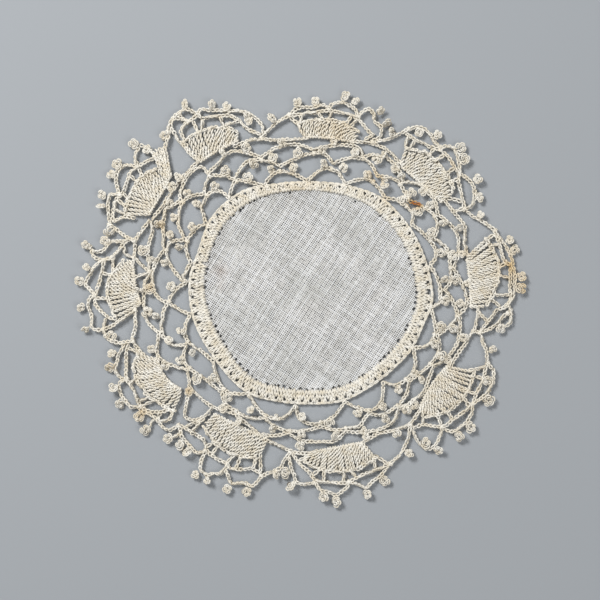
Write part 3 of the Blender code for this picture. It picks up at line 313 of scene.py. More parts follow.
# Last round: picot arches over the mesh row, each with its picots
OUTER_ARCHES = (
    Edge(((346.3, 57.6), (348.2, 60.3), (350.5, 62.6), (352.8, 63.9), (353.8, 65.6)),
         ()),
    Edge(((349.4, 63.8), (350.3, 65.7), (352.5, 66.8), (354.8, 66.3), (356.0, 65.0)),
         ((349.2, 63.8),)),
    Edge(((356.0, 65.0), (359.0, 67.0), (4.5, 67.6), (12.0, 66.7), (18.6, 64.2)),
         ((0.9, 69.5), (4.2, 69.9), (11.7, 68.8), (14.7, 68.0))),
    Edge(((18.6, 64.2), (21.5, 62.0), (24.5, 59.5), (26.5, 58.3), (28.5, 57.5)),
         ((24.6, 61.6),)),
    Edge(((28.3, 57.6), (29.0, 61.0), (33.0, 64.3), (36.3, 63.9), (38.6, 62.8)),
         ((29.5, 64.0), (34.3, 66.5))),
    Edge(((38.4, 62.9), (41.0, 64.8), (45.3, 66.8), (47.3, 65.8), (48.2, 63.8)),
         ((41.0, 67.2), (44.0, 68.9))),
    Edge(((47.8, 64.3), (50.5, 64.3), (54.5, 65.7), (57.5, 65.2), (59.3, 63.0)),
         ((51.4, 67.0), (56.0, 63.8))),
    Edge(((59.3, 63.0), (61.3, 59.7), (63.3, 57.1), (65.5, 55.2), (68.2, 53.6)),
         ((63.6, 59.2),)),
    Edge(((68.2, 54.0), (66.4, 56.6), (67.9, 59.2), (70.2, 60.6), (70.6, 62.7), (73.0, 63.6), (75.2, 60.3)),
         ((66.1, 61.2), (69.3, 64.4))),
    Edge(((75.2, 60.3), (76.8, 62.3), (81.0, 63.3), (83.7, 62.7), (84.8, 60.8)),
         ((77.3, 65.0), (80.1, 65.9))),
    Edge(((84.7, 61.0), (86.3, 62.1), (90.0, 61.4), (94.3, 61.4), (97.5, 59.1)),
         ((88.9, 63.5), (94.4, 63.4))),
    Edge(((97.5, 59.1), (100.5, 57.9), (103.0, 56.7), (105.5, 55.5), (108.2, 53.8)),
         ((103.0, 59.2),)),
    Edge(((107.2, 55.0), (106.9, 58.4), (108.5, 62.0), (111.5, 64.4), (114.8, 66.2)),
         ((110.3, 60.6), (110.1, 62.6))),
    Edge(((114.8, 66.2), (117.0, 67.8), (119.5, 69.5), (121.3, 71.1), (122.8, 70.1)),
         ((114.6, 67.8), (118.0, 70.6))),
    Edge(((122.6, 70.1), (123.7, 72.5), (125.5, 74.1), (126.9, 73.0), (126.1, 69.9)),
         ((124.1, 75.3),)),
    Edge(((126.1, 69.9), (127.3, 72.6), (129.0, 73.6), (130.6, 72.0), (131.3, 68.0),
          (131.4, 64.0), (131.2, 60.5), (130.8, 57.5)),
         ()),
    Edge(((126.0, 74.2), (129.0, 73.9), (131.3, 72.4), (133.4, 69.7), (137.2, 67.8)),
         ((133.4, 71.4),)),
    Edge(((139.9, 75.0), (141.5, 74.7), (142.8, 73.7), (144.4, 71.4)),
         ((140.3, 77.0),)),
    Edge(((144.4, 71.6), (145.8, 75.0), (148.3, 76.0), (151.0, 74.6), (153.2, 71.4)),
         ((146.8, 77.4), (149.6, 77.4))),
    Edge(((153.0, 71.8), (154.3, 74.8), (156.3, 74.1), (159.0, 72.5), (161.5, 71.0)),
         ((155.1, 76.9), (158.0, 75.6))),
    Edge(((161.5, 71.0), (162.0, 69.0), (163.0, 66.3), (163.6, 64.0), (163.8, 61.3)),
         ((163.3, 70.4),)),
    Edge(((164.2, 63.8), (165.3, 66.5), (166.2, 69.0), (168.7, 70.8), (169.5, 73.3), (168.6, 75.3)),
         ((166.1, 70.8), (168.3, 76.8))),
    Edge(((169.2, 74.7), (170.6, 73.6), (171.2, 71.5), (171.3, 69.6)),
         ()),
    Edge(((171.3, 70.6), (174.0, 73.3), (177.8, 75.3), (179.3, 73.9), (181.0, 72.3)),
         ((173.9, 75.3), (177.3, 77.4))),
    Edge(((180.8, 72.7), (182.5, 74.2), (187.0, 73.6), (189.6, 73.0), (190.4, 70.4)),
         ((183.8, 77.0), (189.2, 76.2))),
    Edge(((190.3, 70.6), (192.4, 69.9), (194.0, 68.0), (195.1, 65.3), (195.3, 61.5)),
         ((192.3, 68.3),)),
    Edge(((190.2, 70.6), (189.5, 67.0), (188.0, 63.3), (185.8, 59.0)),
         ()),
    Edge(((195.4, 64.6), (198.5, 67.8), (202.0, 70.2), (204.0, 69.7), (205.4, 68.0)),
         ((197.1, 69.7), (200.4, 72.0))),
    Edge(((205.2, 68.3), (205.8, 71.3), (209.0, 72.1), (212.3, 71.1), (213.8, 68.5)),
         ((205.9, 73.3), (210.2, 73.8))),
    Edge(((213.7, 68.8), (216.0, 67.9), (219.8, 66.9), (223.5, 66.4), (225.1, 62.6)),
         ((215.9, 71.0), (219.7, 71.8))),
    Edge(((218.3, 64.4), (220.0, 66.4), (221.7, 63.6), (220.6, 60.4)),
         ()),
    Edge(((225.3, 62.7), (228.0, 64.4), (232.0, 65.4), (234.5, 65.9), (236.2, 63.4)),
         ((225.4, 68.4), (229.0, 67.0), (232.1, 67.6))),
    Edge(((236.2, 63.4), (236.9, 67.5), (239.5, 69.4), (242.6, 68.0), (244.0, 64.2)),
         ((237.4, 71.8), (240.8, 71.7))),
    Edge(((243.8, 65.5), (246.0, 67.6), (248.3, 68.3), (251.0, 67.0), (253.2, 66.7), (254.7, 63.3)),
         ((246.8, 71.2), (252.0, 69.9))),
    Edge(((254.6, 63.3), (257.0, 61.8), (259.0, 59.3), (260.5, 56.5), (262.5, 53.8)),
         ((258.9, 61.8), (261.6, 60.6))),
    Edge(((262.4, 55.2), (263.2, 59.0), (265.2, 62.5), (267.5, 63.8), (270.8, 63.4)),
         ((263.9, 64.8),)),
    Edge(((270.8, 63.2), (272.5, 65.7), (277.0, 66.7), (280.0, 66.3), (281.2, 64.2)),
         ((273.2, 68.3), (276.6, 70.0))),
    Edge(((281.0, 64.6), (284.0, 65.8), (286.5, 66.3), (290.5, 64.9), (294.6, 62.9)),
         ((285.4, 69.8), (291.0, 67.3))),
    Edge(((294.5, 62.9), (298.5, 61.5), (301.5, 59.3), (303.7, 57.7), (306.6, 54.8)),
         ((300.9, 62.6),)),
    Edge(((306.4, 55.4), (305.3, 61.0), (306.5, 65.0), (310.5, 64.8), (313.8, 62.2)),
         ((307.1, 62.8), (308.8, 67.4))),
    Edge(((313.8, 62.2), (315.3, 65.8), (319.5, 66.8), (323.0, 66.5), (325.0, 65.0)),
         ((315.6, 68.5), (319.7, 69.4))),
    Edge(((324.9, 65.0), (328.5, 66.7), (333.0, 67.1), (336.5, 65.8), (338.0, 63.0)),
         ((328.4, 68.9), (333.3, 65.4))),
    Edge(((338.0, 63.0), (340.5, 61.5), (342.5, 60.0), (344.5, 58.8), (346.5, 57.3)),
         ((342.5, 62.8),)),
)
print(len(OUTER_ARCHES), "outer arches")

# %% [markdown]
# ## Curves
# A cord bends smoothly through its stations. Bezier curves could do it, but each station would need
# handles of its own. The Catmull-Rom curve needs none: on each span it is the cubic that passes both
# stations, parallel to the lines joining their neighbours.

# %% Curves through stations


def place(deg, radius):
    """Points in plan: the linen's middle plus radius times (cos, sin) of the bearing."""
    angle = np.radians(deg)
    x = LINEN_MIDDLE[0] + radius * np.cos(angle)
    y = LINEN_MIDDLE[1] + radius * np.sin(angle)
    return np.stack((x, y), axis=-1)


def curve_through(stations, closed=False, fine=12):
    """Catmull-Rom curve: with a, b, c, d four points in a row and t from 0 to 1 between b and c,
    half of 2b + (c - a)t + (2a - 5b + 4c - d)t^2 + (3b - a - 3c + d)t^3."""
    b = place(*np.array(stations, dtype=float).T)
    if closed:
        a, c, d = np.roll(b, 1, axis=0), np.roll(b, -1, axis=0), np.roll(b, -2, axis=0)
    else:
        a, b, c, d = np.vstack((b[:1], b[:-2])), b[:-1], b[1:], np.vstack((b[2:], b[-1:]))
    a, b, c, d = (points[:, None, :] for points in (a, b, c, d))
    t = (np.arange(fine) / fine)[None, :, None]
    curve = 0.5 * (2 * b + (c - a) * t + (2 * a - 5 * b + 4 * c - d) * t ** 2
                   + (3 * b - a - 3 * c + d) * t ** 3)
    return np.vstack((curve.reshape(-1, 2), b[0] if closed else c[-1]))


def distances(path):
    """Distance along a path to each of its points: the running sum of its steps."""
    return np.concatenate(([0.0], np.cumsum(np.linalg.norm(np.diff(path, axis=0), axis=1))))


band_outer = curve_through([(ring.deg, ring.outer) for ring in BAND], closed=True)
band_inner = curve_through([(ring.deg, ring.inner) for ring in BAND], closed=True)
print(f"the band is {distances(band_outer)[-1]:.0f} mm round outside")
print(f"and {distances(band_inner)[-1]:.0f} mm round inside")

# %% [markdown]
# ## Places along a curve
# Even steps from station to station would bunch the stitches where stations lie close. So what
# repeats along a cord is placed by distance along the curve. A stitch also has to know which way the
# cord runs at its place, and which way is across it.

# %% Places and directions


def unit(vectors):
    """Each vector divided by its length."""
    tiny = 1e-9
    return vectors / np.maximum(np.linalg.norm(vectors, axis=-1, keepdims=True), tiny)


def along(path, distance, run_on=4.0, reach=0.15):
    """Points at the given distances along a path, and its unit direction there, taken between a
    little behind and a little ahead. Past its ends the path runs straight on."""
    before = path[0] + run_on * unit(path[0] - path[1])
    after = path[-1] + run_on * unit(path[-1] - path[-2])
    longer = np.vstack((before, path, after))
    at = distances(longer) - run_on
    points, ahead, behind = (
        np.stack([np.interp(distance + shift, at, longer[:, k]) for k in (0, 1)], axis=-1)
        for shift in (0, reach, -reach))
    return points, unit(ahead - behind)


def nearest(path, point):
    """The point of a path that is nearest to the given one, and the direction of the path there."""
    index = int(np.argmin(np.linalg.norm(path - point, axis=1)))
    return path[index], unit(path[min(index + 1, len(path) - 1)] - path[max(index - 1, 0)])


def nearest_cord(cords, point):
    """The cord that comes nearest to a point."""
    return min(cords, key=lambda cord: np.min(np.linalg.norm(cord - point, axis=1)))


def leftward(way):
    """Directions turned a quarter to the left: (x, y) becomes (-y, x)."""
    return np.stack((-way[..., 1], way[..., 0]), axis=-1)


start, way = along(band_inner, np.array([0.0]))
print("the band's inner edge starts at", start[0].round(1), "and runs towards", way[0].round(2))

# %% [markdown]
# ## How the doily lies
# Lace that was dried flat still lifts here and there by a few tenths of a millimetre. A cloth
# simulation would have only a flat table to drape it over, so three long waves are enough. Thread and
# cloth measure their heights from the same waves, so they lift together.

# %% Unevenness
SWELL = 0.09        # height of each of the three waves


def unevenness(xy):
    """How high the doily stands off the table: three long waves, never under zero."""
    x, y = xy[..., 0], xy[..., 1]
    waves = np.sin(x / 9.5 + 0.7) * np.cos(y / 11.0)
    waves = waves + np.sin((x + y) / 14.0) + np.cos((x - 1.7 * y) / 17.0)
    return SWELL * (waves + 3)


print(f"the doily lifts by up to {unevenness(band_outer).max():.2f} mm under the band")

# %% [markdown]
# ## Age in the threads
# Old cotton and linen yellow unevenly: where starch or rust has got in, they are ochre or brown. A
# painted map could show it, but a few spots in a table are easier to move. Each has a size and a
# strength, and each corner of each mesh gets the sum of them, so a stain crosses from thread to
# thread and to the cloth, as it does on the real doily.

# %% Stains
Stain = namedtuple("Stain", "deg radius size strength")
STAINS = (
    Stain(41.3, 44.6, 1.5, 1.0), Stain(39.2, 46.2, 1.3, 0.9), Stain(62.5, 43.6, 2.2, 0.4),
    Stain(7.0, 66.0, 2.4, 0.35), Stain(6.0, 67.5, 6.0, 0.25), Stain(9.2, 67.2, 1.8, 0.2),
    Stain(2.2, 70.7, 1.9, 0.4), Stain(359.6, 70.7, 1.8, 0.4), Stain(82.0, 54.5, 5.0, 0.2),
    Stain(58.7, 43.7, 1.6, 0.3), Stain(42.4, 63.2, 1.6, 0.25), Stain(52.5, 39.8, 1.6, 0.3),
    Stain(218.5, 52.6, 1.5, 0.4), Stain(178.0, 54.0, 1.7, 0.4), Stain(200.0, 71.0, 1.7, 0.35),
    Stain(215.5, 70.0, 2.2, 0.35), Stain(156.0, 55.0, 1.9, 0.35), Stain(14.5, 53.0, 1.8, 0.25),
    Stain(100.0, 37.0, 9.0, 0.10), Stain(330.0, 60.0, 9.0, 0.10), Stain(150.0, 50.0, 10.0, 0.10),
    Stain(167.0, 31.4, 2.4, 0.35), Stain(176.5, 30.4, 2.0, 0.2),
)


def stain_strength(xy):
    """How stained each point is: for each stain, its strength times exp(-(distance / size)^2)."""
    total = np.zeros(len(xy))
    for stain in STAINS:
        away = np.linalg.norm(xy - place(stain.deg, stain.radius), axis=1)
        total += stain.strength * np.exp(-(away / stain.size) ** 2)
    return np.minimum(total, 1.0)


print(len(STAINS), "stains, which reach", stain_strength(band_outer).max().round(2), "on the band")

# %% [markdown]
# ## From arrays to a piece
# A mesh this fine would take long to make face by face in a loop, so whole arrays go into it at
# once. Each piece also keeps two numbers at every corner for its material: how stained it is, and how
# high it lies in the lace. Then it rides on the one body that the doily has.

# %% Meshes from arrays


def mesh_from(name, corners, quads, caps, uv):
    """A mesh from arrays: corners in millimetres, quads, end caps and a UV pair for each face corner."""
    mesh = bpy.data.meshes.new(name)
    loops = np.concatenate((quads.ravel(), caps.ravel()))
    quad_begins = 4 * np.arange(len(quads))
    cap_begins = quads.size + caps.shape[1] * np.arange(len(caps))
    begins = np.concatenate((quad_begins, cap_begins))
    mesh.vertices.add(len(corners))
    mesh.vertices.foreach_set("co", (corners * MM).astype(np.float32).ravel())
    mesh.loops.add(len(loops))
    mesh.loops.foreach_set("vertex_index", loops.astype(np.int32))
    mesh.polygons.add(len(begins))
    mesh.polygons.foreach_set("loop_start", begins.astype(np.int32))
    mesh.update(calc_edges=True)
    mesh.uv_layers.new(name="thread").data.foreach_set("uv", uv.astype(np.float32).ravel())
    mesh.polygons.foreach_set("use_smooth", np.ones(len(begins), dtype=bool))
    return mesh


def finish_piece(name, corners, quads, caps, uv, material):
    """Makes the mesh, notes at each corner how stained it is and how high in the lace, and lets the
    piece ride on the one body."""
    mesh = mesh_from(name, corners, quads, caps, uv)
    height = corners[:, 2] - unevenness(corners[:, :2])
    for attribute, values in (("stain", stain_strength(corners[:, :2])), ("height", height)):
        layer = mesh.attributes.new(attribute, "FLOAT", "POINT")
        layer.data.foreach_set("value", values.astype(np.float32))
    mesh.materials.append(material)
    piece = bpy.data.objects.new(name, mesh)
    bpy.context.scene.collection.objects.link(piece)
    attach(piece, BODY)
    print(f"{name}: {sum(len(face.vertices) - 2 for face in mesh.polygons)} triangles")
    return piece


print("each piece will ride on the body", BODY)

# %% [markdown]
# ## A frame that doesn't twist
# A thread is a tube round a path, and the frame that carries its ring must turn as little as it can
# from point to point, or the tube would wring. A curve object with a round bevel could do it, but in
# arrays every corner is at hand for its stain and its UV. It takes no loop: start from any frame,
# measure how far it turns from each point to the next, and take the running sum off.

# %% Steady frames
SLANTING = (0.31, 0.23, 0.92)   # a direction that no thread follows for long


def steady_frame(tangent):
    """Two unit vectors across the path at each point, with the least turn between neighbours. Each
    side is carried on to the next point as v + t x v + t x (t x v) / (1 + cos), t being the cross
    product of the two tangents, and the angle from it to the side there is summed and taken off."""
    any_side = unit(np.cross(tangent, SLANTING))
    other = np.cross(tangent, any_side)
    turn = np.cross(tangent[:-1], tangent[1:])
    lean = 1 + np.sum(tangent[:-1] * tangent[1:], axis=1, keepdims=True)
    once = np.cross(turn, any_side[:-1])
    carried = any_side[:-1] + once + np.cross(turn, once) / np.maximum(lean, 0.05)
    drift = np.arctan2(np.sum(carried * other[1:], axis=1), np.sum(carried * any_side[1:], axis=1))
    angle = np.concatenate(([0.0], np.cumsum(drift)))[:, None]
    side = np.cos(angle) * any_side + np.sin(angle) * other
    return side, np.cross(tangent, side)


coil_turn = np.linspace(0, 2 * np.pi, 40)
coil = np.column_stack((np.cos(coil_turn), np.sin(coil_turn), 0.2 * coil_turn))
side, other = steady_frame(unit(np.gradient(coil, axis=0)))
print(f"on a coil the two sides stay square within {np.abs(np.sum(side * other, axis=1)).max():.0e}")

# %% [markdown]
# ## Rings round a path
# A tube with many sides would be rounder, but there are over twenty metres of thread, and five sides
# look round once they are shaded smooth. No spun thread is even, so the tube swells and thins a
# little.

# %% Rings
SIDES = 5
SWELLING = 0.09         # how much a thread swells and thins along its way, as a share of its radius
END_SHARE = 0.55        # how thick a strand is at its two ends, as the same share


def rings(points, run, first, last, thickness):
    """A ring of corners round each point, at middle + radius * (cos(turn) * side + sin(turn) * other
    side), drawn in at the first and last point of its strand. The radius swells by the product of two
    sines of the run, the distance along the thread."""
    index = np.arange(len(points))
    tangent = unit(points[np.minimum(index + 1, last)] - points[np.maximum(index - 1, first)])
    side, other = steady_frame(tangent)
    at_end = (index == first) | (index == last)
    swelling = 1 + SWELLING * np.sin(run * 2.3) * np.sin(run * 0.61)
    radius = thickness / 2 * np.where(at_end, END_SHARE, swelling)
    turn = 2 * np.pi * np.arange(SIDES) / SIDES
    ring = np.cos(turn)[None, :, None] * side[:, None, :]
    ring = ring + np.sin(turn)[None, :, None] * other[:, None, :]
    corners = points[:, None, :] + radius[:, None, None] * ring
    corners[..., 2] = np.maximum(corners[..., 2], 0.0)
    return corners.reshape(-1, 3)


coil_start = np.zeros(len(coil), dtype=int)
coil_corners = rings(coil, distances(coil), coil_start, coil_start + len(coil) - 1, THREAD)
print("the coil has", len(coil_corners), "corners")

# %% [markdown]
# ## From rings to a thread
# Faces join each ring to the next, and a cap closes each end. One mesh for each strand would be
# easier to follow, but there are hundreds, so a piece is one mesh of all its strands. The UV map is
# the distance along the thread and the turn round it, which later lets the material wind the yarn's
# plies round the thread.

# %% Threads


def thread_piece(name, strands, material, thickness=THREAD):
    """One mesh of tubes round all the strands: four-cornered faces from each ring to the next ring of
    its strand, and a cap at either end. A face's UV is the run at its two rings, and the turn round
    the thread from 0 to 1."""
    points = np.vstack(strands)
    lengths = np.array([len(strand) for strand in strands])
    ends = np.cumsum(lengths)
    starts = ends - lengths
    first, last = np.repeat(starts, lengths), np.repeat(ends - 1, lengths)
    run = distances(points)
    corners = rings(points, run, first, last, thickness)

    index = np.arange(len(points))
    here = index[index != last][:, None]
    k = np.arange(SIDES)[None, :]
    on = (k + 1) % SIDES
    low, high = here * SIDES, (here + 1) * SIDES
    quads = np.stack((low + k, low + on, high + on, high + k), axis=-1)
    start_caps = starts[:, None] * SIDES + np.arange(SIDES)[::-1]
    end_caps = (ends[:, None] - 1) * SIDES + np.arange(SIDES)
    caps = np.concatenate((start_caps, end_caps))
    far = np.stack(np.broadcast_arrays(run[here], run[here], run[here + 1], run[here + 1]), axis=-1)
    round_it = np.stack(np.broadcast_arrays(k, k + 1, k + 1, k), axis=-1) / SIDES
    uv = np.stack((far * np.ones_like(round_it), round_it * np.ones_like(far)), axis=-1)
    uv = np.vstack((uv.reshape(-1, 2), np.zeros((caps.size, 2))))
    return finish_piece(name, corners, quads.reshape(-1, 4), caps, uv, material)


print("a strand takes", 2 * SIDES, "triangles for each step along it")

# %% [markdown]
# ## Colours and nodes
# A material is a small graph of nodes. It could be joined up by hand in the Shader Editor, but a
# script can be read and run again. Colours are picked as on a screen, in sRGB, and turned to the
# linear values that light adds up in. One function adds any node, so that a material reads as a list
# of what it is made of.

# %% Colours and nodes
SUM_OF_PRODUCT = {"operation": "MULTIPLY_ADD"}              # the first times the second, plus the third
TINT = {"data_type": "RGBA", "blend_type": "MULTIPLY"}      # socket 6, times as much of 7 as 0 says


def linear(colour):
    """sRGB hex to linear red, green, blue and alpha: c / 12.92 up to 0.04045, then
    ((c + 0.055) / 1.055) ^ 2.4."""
    parts = [int(colour[i:i + 2], 16) / 255 for i in (1, 3, 5)]
    return (*[c / 12.92 if c <= 0.04045 else ((c + 0.055) / 1.055) ** 2.4 for c in parts], 1.0)


def add(material, kind, settings, inputs, stops=()):
    """Adds a node and returns its outputs. It sets the node's settings, gives each named input a value
    or a link, and gives a colour ramp its stops, each a position from 0 to 1 and a colour."""
    node = material.node_tree.nodes.new(kind)
    for key, value in settings.items():
        setattr(node, key, value)
    for number, (position, colour) in enumerate(stops):
        node.color_ramp.elements[number].position = position
        node.color_ramp.elements[number].color = linear(colour)
    for socket, value in inputs.items():
        if isinstance(value, bpy.types.NodeSocket):
            material.node_tree.links.new(value, node.inputs[socket])
        else:
            node.inputs[socket].default_value = value
    return node.outputs


def new_material(name):
    """A new material, and its Principled shader."""
    material = bpy.data.materials.new(name)
    material.use_nodes = True
    return material, material.node_tree.nodes["Principled BSDF"]


print("mid grey is", round(linear("#808080")[0], 3), "in linear light")

# %% [markdown]
# ## Colour of the cotton
# The edging is mercerised cotton, spun, plied and aged to ecru. It could be one flat cream, but old
# thread is uneven: lighter and darker in patches, so noise makes the patches. Shade is painted into
# the colour as well: a dark brown, fading out with the height that each corner keeps, darkens the
# low parts between the stitches on faces that look up. Stains come in two steps: weak ones turn
# cream to tea, and strong ones turn it to rust.

# %% Colour of the cotton: warm and uneven, with painted shade between the stitches
COTTON_PATCH = 2.5      # across a patch of lighter or darker thread


def cotton_colour(material):
    """Cream in patches, times painted shade: a brown that fades out with height where a face looks up,
    times a tint for each step of stain. A noise reads Object coordinates, which are metres, so its
    scale is one over the size of a patch."""
    where = add(material, "ShaderNodeTexCoord", {}, {})["Object"]
    patches = {"Vector": where, "Scale": 1 / (COTTON_PATCH * MM), "Detail": 3.0}
    patchy = add(material, "ShaderNodeTexNoise", {}, patches)["Fac"]
    cream = add(material, "ShaderNodeValToRGB", {}, {"Fac": patchy},
                stops=((0.32, "#eee4cf"), (0.68, "#fffbf1")))["Color"]

    # painted shade: dark brown low between the stitches, fading to white with height, on faces that look up
    height = add(material, "ShaderNodeAttribute", {"attribute_name": "height"}, {})["Fac"]
    painted_shade = add(material, "ShaderNodeValToRGB", {}, {"Fac": height},
                stops=((0.32, "#57472f"), (1.0, "#ffffff")))["Color"]
    normal = add(material, "ShaderNodeNewGeometry", {}, {})["Normal"]
    upward = add(material, "ShaderNodeSeparateXYZ", {}, {0: normal})["Z"]
    lie = {"Value": upward, "From Min": -0.4, "From Max": 0.1}
    shade_on_upward_faces = add(material, "ShaderNodeMapRange", {}, lie)[0]
    colour = add(material, "ShaderNodeMix", TINT, {0: shade_on_upward_faces, 6: cream, 7: painted_shade})[2]

    stain = add(material, "ShaderNodeAttribute", {"attribute_name": "stain"}, {})["Fac"]
    for weak, strong, tint in ((0.0, 0.7, "#ebd2a0"), (0.55, 1.0, "#cd9058")):
        step = {"Value": stain, "From Min": weak, "From Max": strong}
        amount = add(material, "ShaderNodeMapRange", {}, step)[0]
        colour = add(material, "ShaderNodeMix", TINT, {0: amount, 6: colour, 7: linear(tint)})[2]
    return colour


print(f"patches of {COTTON_PATCH} mm need a noise scale of {1 / (COTTON_PATCH * MM):.0f}")

# %% [markdown]
# ## Twist of the cotton
# The yarn is plied, several strands wound round each other, so light breaks up along slanting ridges.
# Modelled plies would double the mesh for something about a pixel wide. A bump whose height winds
# with the UV map gives the same ridges. Mercerising, a bath in lye under tension, gives the thread a low
# sheen. Cotton is cellulose, with an IOR of about 1.53, so the shader's own 1.5 stays.

# %% Mercerised crochet cotton, aged ecru: a soft, low sheen over fine slanting ridges
PLY_LENGTH = 0.42   # along the thread from one ridge to the next
PLY_DEPTH = 0.06
PLIES = 2


def crochet_cotton():
    """The cotton's colour over ridges at the sine of 2 pi (distance / ply length + plies * turn round
    the thread)."""
    material, surface = new_material("mercerised crochet cotton")
    material.node_tree.links.new(cotton_colour(material), surface.inputs["Base Color"])

    path = add(material, "ShaderNodeUVMap", {"uv_map": "thread"}, {})["UV"]
    parts = add(material, "ShaderNodeSeparateXYZ", {}, {0: path})
    run = {0: parts["X"], 1: 2 * np.pi / PLY_LENGTH, 2: 0.0}
    lengthwise = add(material, "ShaderNodeMath", SUM_OF_PRODUCT, run)[0]
    winding = {0: parts["Y"], 1: 2 * np.pi * PLIES, 2: lengthwise}
    wound = add(material, "ShaderNodeMath", SUM_OF_PRODUCT, winding)[0]
    ridge = add(material, "ShaderNodeMath", {"operation": "SINE"}, {0: wound})[0]
    relief = {"Strength": 0.8, "Distance": PLY_DEPTH * MM, "Height": ridge}
    bump = add(material, "ShaderNodeBump", {}, relief)["Normal"]
    material.node_tree.links.new(bump, surface.inputs["Normal"])
    surface.inputs["Roughness"].default_value = 0.6
    surface.inputs["Sheen Weight"].default_value = 0.25
    surface.inputs["Sheen Roughness"].default_value = 0.4
    return material


cotton = crochet_cotton()
print(cotton.name, "with", len(cotton.node_tree.nodes), "nodes")

# %% [markdown]
# ## Stitches
# A chain stitch is a loop drawn up through the loop before it. Its thread rises behind, comes forward
# over the head of the last loop, spreads to one side, rounds its own head, comes back on the other
# side, goes down, and runs on behind to the next. A close stitch is flatter: its thread dives into
# the round below, comes up and goes over to the next, so a round of them shows as a row of Vs. A
# picot's stitch winds to its middle and out again, and fills it. A knit or crochet simulation could
# find these loops, but a table of places shows them plainly: along in stitch lengths, side in half
# widths, up in half depths.

# %% The three stitches
Place = namedtuple("Place", "along side up")
CHAIN_STITCH = np.array((
    Place(0.05, 0.12, -0.90),
    Place(0.22, 0.38, 0.35),
    Place(0.46, 0.84, 0.95),
    Place(0.78, 1.05, 0.75),
    Place(1.06, 0.72, 0.20),
    Place(1.24, 0.00, -0.15),
    Place(1.06, -0.72, 0.20),
    Place(0.78, -1.05, 0.75),
    Place(0.46, -0.84, 0.95),
    Place(0.22, -0.38, 0.35),
    Place(0.06, -0.12, -0.90),
    Place(0.55, 0.00, -0.75),
))
CLOSE_STITCH = np.array((
    Place(0.05, -1.05, -0.90),
    Place(0.08, -0.75, 0.55),
    Place(0.20, -0.20, 1.00),
    Place(0.38, 0.55, 0.75),
    Place(0.50, 1.05, -0.90),
    Place(0.62, 0.55, 0.75),
    Place(0.80, -0.20, 1.00),
    Place(0.92, -0.75, 0.55),
))
PICOT_STITCH = np.array((
    Place(0.05, 0.10, -0.20),
    Place(0.08, 0.70, 0.10),
    Place(0.26, 0.96, 0.35),
    Place(0.50, 1.00, 0.45),
    Place(0.74, 0.96, 0.35),
    Place(0.92, 0.70, 0.30),
    Place(0.84, 0.42, 0.80),
    Place(0.50, 0.50, 1.10),
    Place(0.16, 0.30, 0.90),
    Place(0.40, -0.05, 0.70),
    Place(0.80, 0.00, 0.20),
))
chain_size = (CHAIN_PITCH, CHAIN_WIDTH / 2, CHAIN_DEPTH)
print(f"a chain stitch takes {distances(CHAIN_STITCH * chain_size)[-1]:.1f} mm of thread")

# %% [markdown]
# ## Working a row
# A row repeats its stitch along the path. Copies of one modelled stitch would break the thread at
# each joint and look stamped. Here all the places of all the stitches are worked out as one array, so
# the thread runs on from stitch to stitch, and each can differ from the next as hand work does.

# %% A row of stitches


def turned(side, up, angle):
    """(side, up) turned by the angle: side cos - up sin, and side sin + up cos."""
    return side * np.cos(angle) - up * np.sin(angle), side * np.sin(angle) + up * np.cos(angle)


def worked(path, stitch=CHAIN_STITCH, width=CHAIN_WIDTH, pitch=CHAIN_PITCH, depth=CHAIN_DEPTH,
           level=CORD_LEVEL, roll=0.8, wander=0.13, skip=0):
    """The thread of a row of stitches along a path in plan. Each place of each stitch lies at along
    times the pitch on the path, then side across it and up from it. The row rolls slowly as it goes,
    wander is how much one stitch differs from the next, and with skip n each nth one is left out."""
    total = distances(path)
    count = max(1, round(total[-1] / pitch))
    step = total[-1] / count
    number = np.array([n for n in range(count) if not skip or n % skip])[:, None]
    size = 1 + wander * dice.standard_normal(number.shape)
    run = (number + stitch[:, 0] + 0.5 * wander * dice.standard_normal(number.shape)) * step
    half_width = (np.interp(run, total, np.broadcast_to(width, len(path))) - THREAD) / 2
    side = stitch[:, 1] * size * half_width
    up = stitch[:, 2] * size * depth + wander * dice.standard_normal(number.shape)
    wave = np.sin(run / dice.uniform(1.4, 3.2) + dice.uniform(0, 2 * np.pi))
    lean = roll * (wave + 0.5 * dice.standard_normal())
    side, up = turned(side, up, lean)
    middle, way = along(path, run.ravel())
    plan = middle + leftward(way) * side.reshape(-1, 1)
    return np.column_stack((plan, level + up.ravel() + unevenness(middle)))


print("a quarter turn takes (1, 0) to", np.round(turned(1, 0, np.pi / 2), 1))

# %% [markdown]
# ## Picots
# A picot is a few chain stitches drawn up into a tight knob that stands off its cord. Its pull draws
# the cord up under it. More stations could bend the cord there, but the pull is the same at every
# picot, so a formula gives it.

# %% Cords drawn up by their picots
REACH = 1.7         # a picot this far off its cord draws the cord up; one further off has a stem
PEAK = 1.6          # half the length of cord that one picot draws up
TOUCHING = 0.2      # a gap that a picot's own loose thread bridges


def drawn_up(path, centres):
    """The path with a peak under each picot near it: it moves towards the picot by whatever
    separates the two, times exp(-(distance along / peak)^2)."""
    for centre in centres:
        middle = place(*centre)
        root, _ = nearest(path, middle)
        away = middle - root
        gap = max(np.linalg.norm(away) - PICOT_SIZE / 2 - TOUCHING, 0)
        if gap > REACH:
            continue
        run = distances(path)
        from_root = run - run[np.argmin(np.linalg.norm(path - root, axis=1))]
        path = path + gap * unit(away) * np.exp(-(from_root / PEAK) ** 2)[:, None]
    return path


print(f"a picot can draw its cord up by {REACH} mm, over {2 * PEAK} mm of its length")

# %% [markdown]
# ## The knob of a picot
# A ball would give a picot's size but not its lobes. So its stitch is worked round a small ring,
# which leaves four or five lobes of thread. Where a picot stands further off its cord, a short stem
# of chain holds it.

# %% Picots
RING_SHARE = 0.14   # radius of the ring that a picot's stitches follow, as a share of its size
HEADROOM = 0.2      # how much higher than its cord a picot lies


